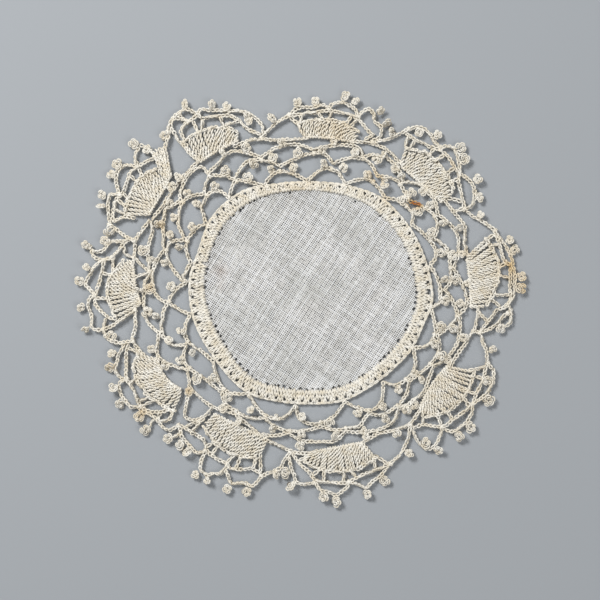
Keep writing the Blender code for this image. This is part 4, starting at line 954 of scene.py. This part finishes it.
def picot(centre, path):
    """A picot: stitches worked along a ring at middle + radius * (sin(turn) leftward - cos(turn)
    outward). It is tipped about the line from the cord, some much more than others, and one that
    stands off the cord has a stem of chain."""
    centre = place(*centre)
    root, _ = nearest(path, centre)
    out = unit(centre - root)
    size = dice.uniform(0.78, 1.05) * PICOT_SIZE
    turn = np.linspace(0, 2 * np.pi, 33)[:, None]
    ring = centre + RING_SHARE * size * (np.sin(turn) * leftward(out) - np.cos(turn) * out)
    lobes = dice.integers(4, 6)
    width = size * (1 - 2 * RING_SHARE)
    pitch = 2 * np.pi * RING_SHARE * size / lobes
    stitches = worked(ring, PICOT_STITCH, width, pitch, level=0.0, roll=0.2, wander=0.18)
    away = stitches[:, :2] - centre
    up = stitches[:, 2] - unevenness(centre)
    tip = dice.normal(0, 0.5)
    sideways, up = turned(away @ leftward(out), up, tip)
    plan = centre + (away @ out)[:, None] * out + sideways[:, None] * leftward(out)
    level = CORD_LEVEL + HEADROOM + 0.7 * abs(np.sin(tip))
    strands = [np.column_stack((plan, level + up + unevenness(centre)))]
    if np.linalg.norm(centre - root) > PICOT_SIZE / 2 + REACH:
        stem = np.linspace(root, centre - 0.4 * size * out, 6)
        strands.append(worked(stem, width=1.2, pitch=1.2))
    return strands


print(f"a picot's ring is {2 * np.pi * RING_SHARE * PICOT_SIZE:.1f} mm round")

# %% [markdown]
# ## Knots
# Where an arch is worked into the row before, a stitch goes round that row's cord. Without it the
# two cords would only cross. It could be a torus, which has no end and no slant; two turns of a
# coil round the cord are nearer to what the eye sees of it.

# %% Knots


def knot(centre, way, level=CORD_LEVEL):
    """A stitch wrapped round a cord: two turns of a coil whose axis is the cord, at 0.70 cos(turn)
    across it and 0.55 sin(turn) up, and 0.42 further along with each turn."""
    turn = np.linspace(0, 4 * np.pi, 25)
    run = 0.42 * (turn / (2 * np.pi) - 1)
    plan = centre + run[:, None] * way + (0.70 * np.cos(turn))[:, None] * leftward(way)
    return np.column_stack((plan, level - 0.1 + 0.55 * np.sin(turn) + unevenness(plan)))


print(f"a knot takes {distances(knot(start[0], way[0]))[-1]:.1f} mm of thread")

# %% [markdown]
# ## The three rounds of picot arches
# Each arch is a chain from one foot to the next, with small picots on it, and each round is worked
# into the one before. An Array modifier could repeat one arch round the band, but no two of these are
# alike. So one function makes an arch from its row of the table, and a loop goes round.

# %% Arches of the three inner rounds


def arch_round(name, arches, end, before):
    """All the chains, picots and knots of one round; before holds the paths it is worked into."""
    finishes = [arch.foot for arch in arches[1:]] + [end]
    paths = [drawn_up(curve_through((arch.foot, arch.rise, arch.crown, arch.fall, finish)), arch.picots)
             for arch, finish in zip(arches, finishes)]
    strands = []
    for arch, path in zip(arches, paths):
        strands.append(worked(path))
        for centre in arch.picots:
            strands += picot(centre, path)
        if before:
            strands.append(knot(*nearest(nearest_cord(before, path[0]), path[0])))
    return thread_piece(name, strands, cotton), paths


round_1, paths_1 = arch_round("picot_arches_1", ROUND_1, ROUND_1[0].foot, [])
round_2, paths_2 = arch_round("picot_arches_2", ROUND_2, ROUND_2_END, paths_1)
round_3, _ = arch_round("picot_arches_3", ROUND_3, ROUND_3_END, paths_2)

# %% [markdown]
# ## Base chain
# A plain chain carries the fans. A cord with a braided bump would be cheaper, but it would lack the
# open heads of the stitches, so it is the same chain stitch on its own routes, with a few picots.

# %% Base chain
base_paths = [curve_through(row) for row in BASE_CHAIN]
base_strands = [worked(path) for path in base_paths]
for centre in BASE_PICOTS:
    base_strands += picot(centre, nearest_cord(base_paths, place(*centre)))
base_chain = thread_piece("base_chain", base_strands, cotton)

# %% [markdown]
# ## Mesh row
# A second chain runs over the fans on short posts, and leaves small square openings. A post is a
# treble that stands alone. It could be wound from two strands, as the fans' trebles are, but from
# above it looks like a drawn-out chain, so it is worked as one. The chain over the drawn-in fan lies
# folded on the rest, and so a little higher.

# %% Mesh row over the fans
MESH_LEVEL = CORD_LEVEL + 0.1
FOLDED_LEVEL = CORD_LEVEL + 0.4
POST_PITCH = 1.7

mesh_strands = [worked(curve_through(row), level=MESH_LEVEL) for row in MESH_CHAINS]
folded_path = curve_through(FOLDED_CHAIN)
mesh_strands += [worked(folded_path, level=FOLDED_LEVEL), *picot(FOLDED_PICOT, folded_path)]
for post in MESH_POSTS:
    post_path = np.linspace(place(*post.top), place(*post.foot), 12)
    mesh_strands.append(worked(post_path, width=POST_WIDTH, pitch=POST_PITCH))
mesh_row = thread_piece("mesh_row", mesh_strands, cotton)

# %% [markdown]
# ## Outer arches
# The last round of arches hangs on the mesh row and gives the doily its knobbly outline. The
# function of the inner rounds takes arches of four stations that share their feet, and these have
# their own ends, so a loop goes through the same steps. The round lies on top of the row that it is
# worked into, so it is set a little higher, and a knot ends each arch.

# %% Outer arches
EDGE_LEVEL = CORD_LEVEL + 0.15

edge_strands = []
for arch in OUTER_ARCHES:
    path = drawn_up(curve_through(arch.stations), arch.picots)
    edge_strands.append(worked(path, level=EDGE_LEVEL))
    edge_strands.append(knot(*nearest(path, path[-1]), level=EDGE_LEVEL))
    for centre in arch.picots:
        edge_strands += picot(centre, path)
outer_arches = thread_piece("outer_arches", edge_strands, cotton)

# %% [markdown]
# ## Outlines of the fans
# Each fan is a block of tall stitches between two curves, the narrow base and the wide top. Three
# stations are enough for either. The curve of the cords could pass them too, but from its ends it
# sets off straight at the next station, and a parabola bends all the way. The chain along the heads
# is slack, so its path is rounded once more.

# %% Curves for a fan


def parabola(start, middle, end, share):
    """The parabola through three stations, at the given shares t of the way:
    a (1 - t)(1 - 2t) + 4b t(1 - t) + c t(2t - 1)."""
    a, b, c = place(*np.array((start, middle, end)).T)
    t = share[:, None]
    return a * (1 - t) * (1 - 2 * t) + b * 4 * t * (1 - t) + c * t * (2 * t - 1)


def softened(path, reach=1.6):
    """The path with its corners rounded: each point becomes the average of places up to the reach
    behind and ahead along it. Its ends stay where they are."""
    at = distances(path)
    even = np.linspace(0, at[-1], 60)
    shifts = np.linspace(-1, 1, 7)[:, None] * np.minimum(reach, np.minimum(even, at[-1] - even))
    return np.stack([np.interp(even + shifts, at, path[:, k]).mean(axis=0) for k in (0, 1)], axis=-1)


fine = np.linspace(0, 1, 40)
print(f"the first fan is {distances(parabola(*FANS[0][3:], fine))[-1]:.1f} mm round its top")

# %% [markdown]
# ## Trebles
# A treble is a tall stitch: the thread is wound over the hook before it is drawn through, so its post
# is two strands wound round each other. Packed side by side they close up, and what shows between
# them is a short slanting slit at each crossing. A striped surface would have the slant but not the
# slits, so each treble is made of its two strands, all of a fan's in one array. No two fans are worked
# alike: each has its own tightness and bow.

# %% The trebles of one fan
WRAPS = (0.32, 0.44)     # turns in each millimetre of a treble's height, loosest and tightest fan
FOOT_REACH = 0.42        # how far a strand swings out at its foot, as a share of a treble's room
HEAD_REACH = 0.27        # and at its head
STRAND_RISE = 0.36       # how far a strand swings up and down
CROWDING = 0.14          # how much some trebles have more room than others
WAIST = 0.24             # how much a treble is drawn in between its wraps
TREBLE_LEVEL = CORD_LEVEL + 0.1
ARCHING = 0.2            # how much higher a treble's middle lies than its two ends


def trebles(share, feet, heads, foot_room, head_room):
    """Two strands for each treble from its foot to its head, at line + waist * reach * cos(turn) across
    and 0.36 sin(turn) up. The line bows to one side by a sine. The reach goes from 0.42 of the room
    for a treble at the feet to 0.27 of it at the heads, so they crowd together at the base and part a
    little above, here more and there less. The waist is 1 + 0.24 sin(three turns in the height), and
    every other treble starts a quarter turn on, so that the crossings don't line up."""
    count = len(feet)
    t = np.linspace(0, 1, 26)[None, :]
    length = np.linalg.norm(heads - feet, axis=1)[:, None]
    across = leftward(unit(heads - feet))[:, None, :]
    bow = (dice.normal(0, 0.35) + 0.06 * dice.standard_normal((count, 1))) * np.sin(np.pi * t)
    line = feet[:, None, :] * (1 - t)[..., None] + heads[:, None, :] * t[..., None]
    line = line + across * bow[..., None]
    ease = 1 + CROWDING * np.sin(share[:, None] * dice.uniform(5, 11) + dice.uniform(0, 6))
    reach = FOOT_REACH * foot_room * (1 - t) + HEAD_REACH * head_room * t
    reach = reach * ease * dice.uniform(0.88, 1.12, (count, 1))
    phase = 6 * np.pi * t + dice.uniform(0, 6)
    waist = 1 + WAIST * np.sin(phase + 0.7 * dice.standard_normal((count, 1)))
    begin = np.pi / 2 * (np.arange(count)[:, None] % 2) + dice.normal(0, 0.5, (count, 1))
    wraps = dice.uniform(*WRAPS)
    strands = []
    for half in (0, np.pi):
        turn = begin + half + 2 * np.pi * wraps * length * t
        height = TREBLE_LEVEL + ARCHING * np.sin(np.pi * t) + STRAND_RISE * np.sin(turn) + unevenness(line)
        aside = across * (waist * reach * np.cos(turn))[..., None]
        strands += list(np.concatenate((line + aside, height[..., None]), axis=-1))
    return strands


print(f"a treble 15 mm tall is wound {15 * WRAPS[0]:.1f} to {15 * WRAPS[1]:.1f} times")

# %% [markdown]
# ## Ten fans
# A fan is its trebles, a loose chain along their heads and close stitches along their feet. The
# heads are pulled down a little, unevenly, and most at the two ends, where a tall stitch has nothing
# to lean on. A chain that kept to the fan's own curve would look ruled, so this one strays.

# %% Fans
HEADS_LEVEL = CORD_LEVEL + 0.12
FEET_LEVEL = CORD_LEVEL + 0.05


def fan_strands(fan):
    """The trebles of a fan, spread evenly from its base to its top, and the rows along both. The heads
    come down by 0.3 to 0.6, and by 0.5 more towards the ends, where (2 share - 1)^8 nears 1. The
    chain along them strays by a sine of the way along."""
    base_of, top_of = fan[:3], fan[3:]
    base, top = parabola(*base_of, fine), parabola(*top_of, fine)
    width = 0.7 * distances(top)[-1] + 0.3 * distances(base)[-1]
    count = round(width / TREBLE_PITCH)
    share = np.linspace(0.015, 0.985, count)
    feet, heads = parabola(*base_of, share), parabola(*top_of, share)
    lowered = dice.uniform(0.3, 0.6) + 0.5 * (2 * share - 1) ** 8 + 0.22 * dice.standard_normal(count)
    heads -= unit(heads - feet) * lowered[:, None]
    heads += unit(top[-1] - top[0]) * 0.12 * dice.standard_normal((count, 1))
    strands = trebles(share, feet, heads, distances(base)[-1] / count, distances(top)[-1] / count)

    loose = 0.22 * np.sin(distances(top) / dice.uniform(0.5, 0.9) + dice.uniform(0, 6))[:, None]
    heads_path = softened(top + loose * leftward(unit(np.gradient(top, axis=0))))
    strands.append(worked(heads_path, width=1.35, pitch=1.15, level=HEADS_LEVEL, roll=0.9, wander=0.24))
    feet_pitch = distances(base)[-1] / count
    strands.append(worked(base, CLOSE_STITCH, 1.3, feet_pitch, depth=0.26, level=FEET_LEVEL, roll=0.2))
    return strands


treble_strands = [strand for fan in FANS for strand in fan_strands(fan)]
print(len(treble_strands), "strands in ten fans")

# %% [markdown]
# ## The fan that has drawn in
# One side of the fifth fan has shrunk and folded over, and its stitches lie in a bunch. A cloth
# simulation would have to fold them one by one. Four chains from the fan's base to above its top,
# half a millimetre higher than the rest, look the same from above.

# %% Folded side of the fifth fan
FOLDED_SHARES = np.array((0.1, 0.37, 0.63, 0.9))

folded_base = parabola(*FOLDED_SIDE[:3], FOLDED_SHARES)
folded_top = parabola(*FOLDED_SIDE[3:], FOLDED_SHARES)
for foot, head in zip(folded_base, folded_top):
    folded_line = np.linspace(foot, head, 12)
    treble_strands.append(worked(folded_line, width=1.5, pitch=1.15, level=CORD_LEVEL + 0.5))
fans = thread_piece("treble_fans", treble_strands, cotton, CLOSE_THREAD)

# %% [markdown]
# ## The close band
# Three rounds of close stitches are worked over the linen's hem. The first goes through holes pierced
# in the cloth, two stitches to a hole. The last misses each third stitch, which leaves a row of
# small holes, and a smooth cord is laid along its heads for the arches to stand on. A ribbon with
# a pattern of stitches would be simpler, but light wouldn't catch in it. So each round is worked along
# its own closed path, and the rounds overlap a little, so no cloth shows between them.

# %% Band
HOLES = 112         # pierced in the linen
HOLE_STEP = 2.9     # from one hole of the outermost round to the next
CORD_WIDTH = 1.0    # the smooth cord along the outer edge


def between(share):
    """The closed path at a share of the way from the band's inner to its outer edge."""
    return band_inner + (band_outer - band_inner) * share


def close_round(near, far, pitch, level, skip=0):
    """A round of close stitches from one share of the band's width to another: its middle lies at the
    mean of the two shares, and its width is their difference times the band's, and a thread more."""
    width = (far - near) * np.linalg.norm(band_outer - band_inner, axis=1) + THREAD
    return worked(between((near + far) / 2), CLOSE_STITCH, width, pitch, depth=0.33, level=level,
                  roll=0.0, wander=0.14, skip=skip)


rim_length = distances(between(0.15))[-1]
band_strands = [close_round(-0.02, 0.42, rim_length / (2 * HOLES), CORD_LEVEL - 0.12),
                close_round(0.3, 0.72, 1.08, CORD_LEVEL - 0.06),
                close_round(0.6, 0.94, HOLE_STEP / 3, CORD_LEVEL - 0.08, skip=3)]
band_stitches = thread_piece("band_stitches", band_strands, cotton, CLOSE_THREAD)
edge_cord = worked(between(0.96), width=CORD_WIDTH, pitch=2.1, depth=0.2, roll=0.3)
band_edge = thread_piece("band_edge", [edge_cord], cotton)

# %% [markdown]
# ## Slubs and gaps in the linen
# The centre is linen, woven of flax yarn and bleached. Flax spins unevenly: now and then a thread
# thickens into a slub that runs on for centimetres and shows as a white line, and here and there two
# threads stand further apart, and the painted shade of the openings along them is darker. A plain
# noise could only mottle the cloth. So the noise is read at each thread's own number, and changes
# slowly along it.

# %% Noise along a thread
THREAD_NOISE = 5.3  # noise patches from one thread to the next, so that neighbours are unlike
WARP_RUN = 105      # mm along a warp thread in which the noise goes as far as from thread to thread
WEFT_RUN = 70


def streak(material, number, run, low, high):
    """A value from 0 to 1 for each numbered thread or gap, which changes slowly along it: a noise
    at (number, run), raised from low to high."""
    spot = add(material, "ShaderNodeCombineXYZ", {}, {0: number, 1: run})[0]
    inputs = {"Vector": spot, "Scale": THREAD_NOISE, "Detail": 2.0}
    tone = add(material, "ShaderNodeTexNoise", {}, inputs)["Fac"]
    return add(material, "ShaderNodeMapRange", {}, {"Value": tone, "From Min": low, "From Max": high})[0]


print(f"a slub is about {WARP_RUN / THREAD_NOISE:.0f} mm long in the warp", end=", ")
print(f"{WEFT_RUN / THREAD_NOISE:.0f} mm in the weft")

# %% [markdown]
# ## Threads that cross
# The same things happen to the threads of both ways, so one pass of a loop draws the warp and the
# other the weft, which is weaker because it shows less on the real cloth. Stripes each way would look
# like a check. It is the noise along each single thread that makes it look like cloth.

# %% Threads and gaps
WEFT_SHARE = 0.7    # how strongly the weft shows
# the dots that an open gap darkens are the painted shade of the pinholes
OPENING = 0.33      # how much an open gap darkens the dots along it
GAP_SHIFT = 0.37    # from a thread's number to the place in the noise of the gap beside it


def threads_and_gaps(material):
    """Along the UV map a thread's middle lies at each whole number. Four things come of it: how white
    the slubs are, painted brightest on each thread's crest and fading to its sides, the ridges
    cos(2 pi x) + cos(2 pi y), how open the gaps are that cross, and the number of the gap each way."""
    weave = add(material, "ShaderNodeUVMap", {"uv_map": "thread"}, {})["UV"]
    parts = add(material, "ShaderNodeSeparateXYZ", {}, {0: weave})
    slubs_and_crest_highlights, ridges, opening, gaps = 0.0, 0.0, 0.0, []
    for own, other, share, length in (("Y", "X", 1.0, WARP_RUN), ("X", "Y", WEFT_SHARE, WEFT_RUN)):
        drawn_out = {0: parts[other], 1: CLOTH_THREAD / length, 2: 0.0}
        run = add(material, "ShaderNodeMath", SUM_OF_PRODUCT, drawn_out)[0]
        number = add(material, "ShaderNodeMath", {"operation": "ROUND"}, {0: parts[own]})[0]
        slub = streak(material, number, run, 0.47, 0.61)

        turn = add(material, "ShaderNodeMath", SUM_OF_PRODUCT, {0: parts[own], 1: 2 * np.pi, 2: 0.0})[0]
        ridge = add(material, "ShaderNodeMath", {"operation": "COSINE"}, {0: turn})[0]
        # painted highlight: each slub is whitest on its thread's crest and fades towards the thread's sides
        top = {"Value": ridge, "From Min": -0.5, "From Max": 0.8, "To Max": share}
        painted_crest_highlight = add(material, "ShaderNodeMapRange", {}, top)[0]
        slubs_and_crest_highlights = add(material, "ShaderNodeMath", SUM_OF_PRODUCT, {0: slub, 1: painted_crest_highlight, 2: slubs_and_crest_highlights})[0]
        ridges = add(material, "ShaderNodeMath", SUM_OF_PRODUCT, {0: ridge, 1: 1.0, 2: ridges})[0]

        gaps.append(add(material, "ShaderNodeMath", {"operation": "FLOOR"}, {0: parts[own]})[0])
        beside = add(material, "ShaderNodeMath", SUM_OF_PRODUCT, {0: gaps[-1], 1: 1.0, 2: GAP_SHIFT})[0]
        wide = {0: streak(material, beside, run, 0.4, 0.6), 1: OPENING * share, 2: opening}
        opening = add(material, "ShaderNodeMath", SUM_OF_PRODUCT, wide)[0]
    return slubs_and_crest_highlights, ridges, opening, gaps


print(f"the noise goes on by {CLOTH_THREAD / WARP_RUN:.3f} of its own step with each thread crossed")

# %% [markdown]
# ## Pinholes
# Between the threads are small openings that let the table's shade through. Cut open, they would need
# a far finer mesh, so their shade is painted in as dark dots, about a pixel wide in the picture. Each
# differs by chance, and they are darker where open gaps cross.

# %% Pinholes: painted shade
CHANCE = 0.48           # how much one dot differs from the next
LEAST_DARK = 0.17


def painted_pinhole_shade(material, ridges, opening, gaps):
    """Painted shade of the pinholes: dots that are dark at the half numbers, where the ridges near -2:
    white at most, and darker by the least, the chance of that dot and the opening of its gaps."""
    which = add(material, "ShaderNodeCombineXYZ", {}, {0: gaps[0], 1: gaps[1]})[0]
    chance = add(material, "ShaderNodeTexWhiteNoise", {}, {"Vector": which})["Value"]
    by_chance = {0: chance, 1: CHANCE, 2: LEAST_DARK}
    dark = add(material, "ShaderNodeMath", SUM_OF_PRODUCT, by_chance)[0]
    dark = add(material, "ShaderNodeMath", SUM_OF_PRODUCT, {0: opening, 1: 1.0, 2: dark})[0]
    dot = add(material, "ShaderNodeMapRange", {}, {"Value": ridges, "From Min": 0.2, "From Max": -0.8})[0]
    depth = add(material, "ShaderNodeMath", SUM_OF_PRODUCT, {0: dot, 1: dark, 2: 0.0})[0]
    stops = ((0.1, "#ffffff"), (0.9, "#000000"))
    return add(material, "ShaderNodeValToRGB", {}, {"Fac": depth}, stops)["Color"]


print("without an open gap a dot's depth is", LEAST_DARK, "to", round(LEAST_DARK + CHANCE, 2))

# %% [markdown]
# ## The linen's finish
# Linen is matt, with none of the cotton's sheen. One flat white would make it look like paper:
# washing and bleaching leave real linen whiter in some places than in others, and tea has got into
# it too. So noise gives it soft patches, and the stains tint it. A bump over the woven mesh sharpens
# the threads. Its IOR is the cotton's, since flax is cellulose as well.

# %% Bleached, plain-woven linen: matt and white, with slubs along its threads, painted brightest on their crests, and painted shade in the pinholes between them
WASHED_PATCH = 16.0     # across a patch that is bleached more or less
WEAVE_DEPTH = 0.08


def plain_linen():
    """Off-white threads with white slubs, painted brightest on the threads' crests, times the painted
    shade of the pinholes, times the washed patches, times a tea colour where it is stained."""
    material, surface = new_material("plain-woven linen")
    slubs_and_crest_highlights, ridges, opening, gaps = threads_and_gaps(material)
    threads = add(material, "ShaderNodeValToRGB", {}, {"Fac": slubs_and_crest_highlights},
                  stops=((0.05, "#e6e4e0"), (0.85, "#ffffff")))["Color"]
    # painted shade of the pinholes between the threads
    pinhole_shade_dots = painted_pinhole_shade(material, ridges, opening, gaps)
    colour = add(material, "ShaderNodeMix", TINT, {0: 1.0, 6: threads, 7: pinhole_shade_dots})[2]

    where = add(material, "ShaderNodeTexCoord", {}, {})["Object"]
    patches = {"Vector": where, "Scale": 1 / (WASHED_PATCH * MM), "Detail": 2.0}
    patchy = add(material, "ShaderNodeTexNoise", {}, patches)["Fac"]
    washed = add(material, "ShaderNodeValToRGB", {}, {"Fac": patchy},
                 stops=((0.36, "#f0f1f0"), (0.64, "#ffffff")))["Color"]
    colour = add(material, "ShaderNodeMix", TINT, {0: 1.0, 6: colour, 7: washed})[2]
    stain = add(material, "ShaderNodeAttribute", {"attribute_name": "stain"}, {})["Fac"]
    colour = add(material, "ShaderNodeMix", TINT, {0: stain, 6: colour, 7: linear("#b49478")})[2]
    material.node_tree.links.new(colour, surface.inputs["Base Color"])

    relief = {"Strength": 0.6, "Distance": WEAVE_DEPTH * MM, "Height": ridges}
    bump = add(material, "ShaderNodeBump", {}, relief)["Normal"]
    material.node_tree.links.new(bump, surface.inputs["Normal"])
    surface.inputs["Roughness"].default_value = 0.85
    return material


linen_finish = plain_linen()
print(linen_finish.name, "with", len(linen_finish.node_tree.nodes), "nodes")

# %% [markdown]
# ## Pierced holes
# An awl pierced a ring of holes through the hem for the first round of stitches. A Boolean modifier
# could cut them, but an awl cuts no thread, it pushes them aside. So the corners of the mesh move
# away from each hole's middle, and only the few faces left inside it are taken out. The holes near
# the top have closed up in the wash.

# %% Holes along the rim
HOLE_INSET = 0.2            # from the rim in to the ring of holes
HOLE_RADIUS = (0.12, 0.5)   # the smallest and the largest, before any has closed up
CLOSED = 0.75               # how much the most closed hole has shrunk
CLOSED_BEARING = 65         # degrees to the middle of the stretch where they have closed up
CLOSED_SPREAD = 45


def rim_radius(bearing):
    """Radius of the band's inner edge at each bearing, read off between its points."""
    edge = band_inner[:-1] - np.array(LINEN_MIDDLE)
    edge_bearing = np.degrees(np.arctan2(edge[:, 1], edge[:, 0])) % 360
    return np.interp(bearing, edge_bearing, np.linalg.norm(edge, axis=1), period=360)


hole_degrees = np.arange(HOLES) * 360 / HOLES + dice.normal(0, 0.35, HOLES)
hole_middles = place(hole_degrees, rim_radius(hole_degrees) - HOLE_INSET + dice.normal(0, 0.18, HOLES))
closed_up = CLOSED * np.exp(-((hole_degrees - CLOSED_BEARING) / CLOSED_SPREAD) ** 2)
hole_sizes = dice.uniform(*HOLE_RADIUS, HOLES) * (1 - closed_up)
print(f"holes are {2 * hole_sizes.min():.2f} to {2 * hole_sizes.max():.2f} mm across")

# %% [markdown]
# ## The weave
# The cloth is woven in the mesh itself: one grid line for each half thread, and a height that goes up
# over one thread and down under the next. A bump alone would look flat in a low light. It runs on
# under the band, where its edge is turned back under as a hem.

# %% The woven grid
CRIMP = 0.09        # how far a thread goes up and down
DIP = 0.10          # depth of the openings between the threads
STRAY = 0.18        # how far a thread strays from a straight line, in long waves
FOLD = 1.6          # from the rim out to the fold of the hem
HEM = 2.1           # width of the cloth turned back under
HEM_DEPTH = 0.38    # from the cloth's middle down to the hem's
HOLE_SPREAD = 1.1   # how far from a hole its threads are pushed aside
HEM_TURN = 0.4      # how far past the fold the cloth has come down all the way
HOLE_CUT = 0.7      # faces nearer to a hole's middle than this share of its size are taken out
CLOTH_LEVEL = 0.25  # the cloth's height in the middle
RIM_RISE = 0.35     # how much higher it is at the rim, on its hem
RISE_WIDTH = 5      # over how much cloth it rises to that


def weave_grid(i, j):
    """Corners of the plain weave at half-thread counts i and j, and which of them are cloth. Height is
    the crimp times cos(pi i / 2) * cos(pi j / 2), less the dip times the squares of the two sines.
    Near a pierced hole of size a, a point at distance r from its middle moves out to the root of
    r^2 + a^2 exp(-(r / 1.1)^2). Cloth past the fold comes back under itself: twice what is over the
    fold's radius is taken off it, and it drops by the depth of the hem."""
    u, v = i * CLOTH_THREAD / 2, j * CLOTH_THREAD / 2
    u, v = (u + STRAY * np.sin(v / 9.0 + 0.4 * np.sin(u / 7)),
            v + STRAY * np.sin(u / 8.0 + 1.3 + 0.5 * np.sin(v / 6)))
    bearing = (np.degrees(np.arctan2(v, u)) + WEAVE_TURN) % 360
    radius = np.hypot(u, v)
    rim = rim_radius(bearing)
    over = np.maximum(radius - rim - FOLD, 0)
    xy = place(bearing, radius - 2 * over)

    which = np.round(bearing / 360 * HOLES).astype(int) % HOLES
    hole, size = hole_middles[which], hole_sizes[which][..., None]
    away = np.linalg.norm(xy - hole, axis=-1, keepdims=True)
    pushed = np.sqrt(away ** 2 + size ** 2 * np.exp(-(away / HOLE_SPREAD) ** 2))
    xy = hole + (xy - hole) * pushed / np.maximum(away, 1e-6)

    crimp = CRIMP * np.cos(np.pi * i / 2) * np.cos(np.pi * j / 2)
    dip = DIP * np.sin(np.pi * i / 2) ** 2 * np.sin(np.pi * j / 2) ** 2
    rise = np.clip((radius - rim + RISE_WIDTH) / RISE_WIDTH, 0, 1)
    drop = HEM_DEPTH * np.clip(over / HEM_TURN, 0, 1)
    z = CLOTH_LEVEL + RIM_RISE * rise ** 2 + crimp - dip - drop + unevenness(xy)
    cloth = (over < HEM) & (away[..., 0] > HOLE_CUT * size[..., 0])
    return np.concatenate((xy, z[..., None]), axis=-1), cloth


print(f"the cloth is {1 / CLOTH_THREAD * 10:.0f} threads to the centimetre")

# %% [markdown]
# ## The linen centre
# The grid is square and the cloth is round, so the faces whose corners aren't all cloth are left out,
# also in the pierced holes. A sheet of no thickness has no edge to catch the light, and the Solidify
# modifier gives it the cloth's 0.2 mm, half to either side.

# %% Linen centre
GRID_REACH = 41          # half the width of the grid, past the hem all round
CLOTH_THICKNESS = 0.2


def linen_piece():
    """The linen as one mesh: the faces of the weave whose corners are all cloth."""
    n = int(GRID_REACH / (CLOTH_THREAD / 2))
    i, j = np.meshgrid(np.arange(-n, n + 1), np.arange(-n, n + 1), indexing="ij")
    corners, cloth = weave_grid(i, j)
    index = np.arange(i.size).reshape(i.shape)
    quads = np.stack((index[:-1, :-1], index[1:, :-1], index[1:, 1:], index[:-1, 1:]), axis=-1)
    quads = quads.reshape(-1, 4)
    quads = quads[cloth.ravel()[quads].all(axis=1)]
    used, quads = np.unique(quads, return_inverse=True)
    quads = quads.reshape(-1, 4)
    corners = corners.reshape(-1, 3)[used]
    uv = np.stack((i / 2, j / 2), axis=-1).reshape(-1, 2)[used][quads.ravel()]
    no_caps = np.zeros((0, 4), dtype=int)
    piece = finish_piece("linen_cloth", corners, quads, no_caps, uv, linen_finish)
    cloth_modifier = piece.modifiers.new("cloth thickness", "SOLIDIFY")
    cloth_modifier.thickness = CLOTH_THICKNESS * MM
    cloth_modifier.offset = 0
    return piece


linen = linen_piece()

# %% [markdown]
# ## What each piece stands for
# The crochet is one continuous piece of work, so all its meshes replace the one solid of the edging.
# They could be joined into one, but a mesh for each round stays easy to change. The linen cloth, a
# disc of 76 mm laid flat with its hem, replaces the solid of the linen centre.

# %% Pieces and the solids they replace
crochet = [round_1, round_2, round_3, base_chain, mesh_row, outer_arches, fans, band_stitches, band_edge]
for piece in crochet:
    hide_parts("crochet_edging")
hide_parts("linen_centre")
print(len(crochet) + 1, "pieces")

# %% [markdown]
# ## Table
# The doily lies on a plain pale table. A table with legs and edges could be built, but none of it
# would be in the picture, so a single square face is enough, a hair under the thread. Its matt paint
# keeps reflections out of the lace.

# %% Table, painted matt: an even, pale grey
TABLE_DROP = 0.02

table_mesh = bpy.data.meshes.new("table_top")
table_mesh.from_pydata([(-1, -1, 0), (1, -1, 0), (1, 1, 0), (-1, 1, 0)], [], [(0, 1, 2, 3)])
table = bpy.data.objects.new("table_top", table_mesh)
table.location.z = -TABLE_DROP * MM
bpy.context.scene.collection.objects.link(table)
paint, paint_surface = new_material("pale matt table")
paint_surface.inputs["Base Color"].default_value = linear("#a3a7ab")
paint_surface.inputs["Roughness"].default_value = 0.9
table_mesh.materials.append(paint)
print("table surface:", paint.name)

# %% [markdown]
# ## Light
# One lamp stands up and to the left, so the stitches are modelled by soft shade, and a weaker, wider
# one opposite keeps the shadows open. Light from the whole room alone would leave the lace flat. A
# lamp's size sets how soft its shadows are, and the room's own light fills what is left.

# %% Lamps and the room
ROOM_LIGHT = 0.3


def lamp(name, position, size, power):
    """A square lamp that faces the doily: position and size in metres, power in watts."""
    light = bpy.data.lights.new(name, "AREA")
    light.size, light.energy = size, power
    lamp_object = bpy.data.objects.new(name, light)
    lamp_object.location = position
    lamp_object.rotation_euler = Vector(position).to_track_quat("Z", "Y").to_euler()
    bpy.context.scene.collection.objects.link(lamp_object)


world = bpy.data.worlds.new("soft room light")
bpy.context.scene.world = world
world.use_nodes = True
world.node_tree.nodes["Background"].inputs["Color"].default_value = linear("#f4f6f8")
world.node_tree.nodes["Background"].inputs["Strength"].default_value = ROOM_LIGHT
lamp("key", position=(-0.45, 0.5, 0.7), size=0.3, power=8.2)
lamp("fill", position=(0.5, -0.3, 0.7), size=0.6, power=2.0)
print("lamps:", len(bpy.data.lights))

# %% [markdown]
# ## Camera
# The camera looks straight down, as the doily was photographed. A wide lens close by would lean the
# lace outwards at its edges, so a long one stands off at about half a metre. Its height follows from
# the width of table to be seen: width times focal length over sensor width.

# %% Camera
LENS = 85                            # millimetres
SENSOR = 36                          # millimetres
TABLE_SEEN = 0.2                     # metres of table across the picture
ASIDE = (-0.00025, -0.00029)         # metres from the part's own middle to the picture's

camera_data = bpy.data.cameras.new("camera")
camera_data.lens = LENS
camera_data.sensor_width = SENSOR
camera_data.clip_start = 0.01
camera = bpy.data.objects.new("camera", camera_data)
camera.location = (*ASIDE, TABLE_SEEN * LENS / SENSOR)
bpy.context.scene.collection.objects.link(camera)
bpy.context.scene.camera = camera
bpy.context.scene.view_settings.view_transform = "Standard"
print(f"camera {camera.location.z:.2f} m above the table")
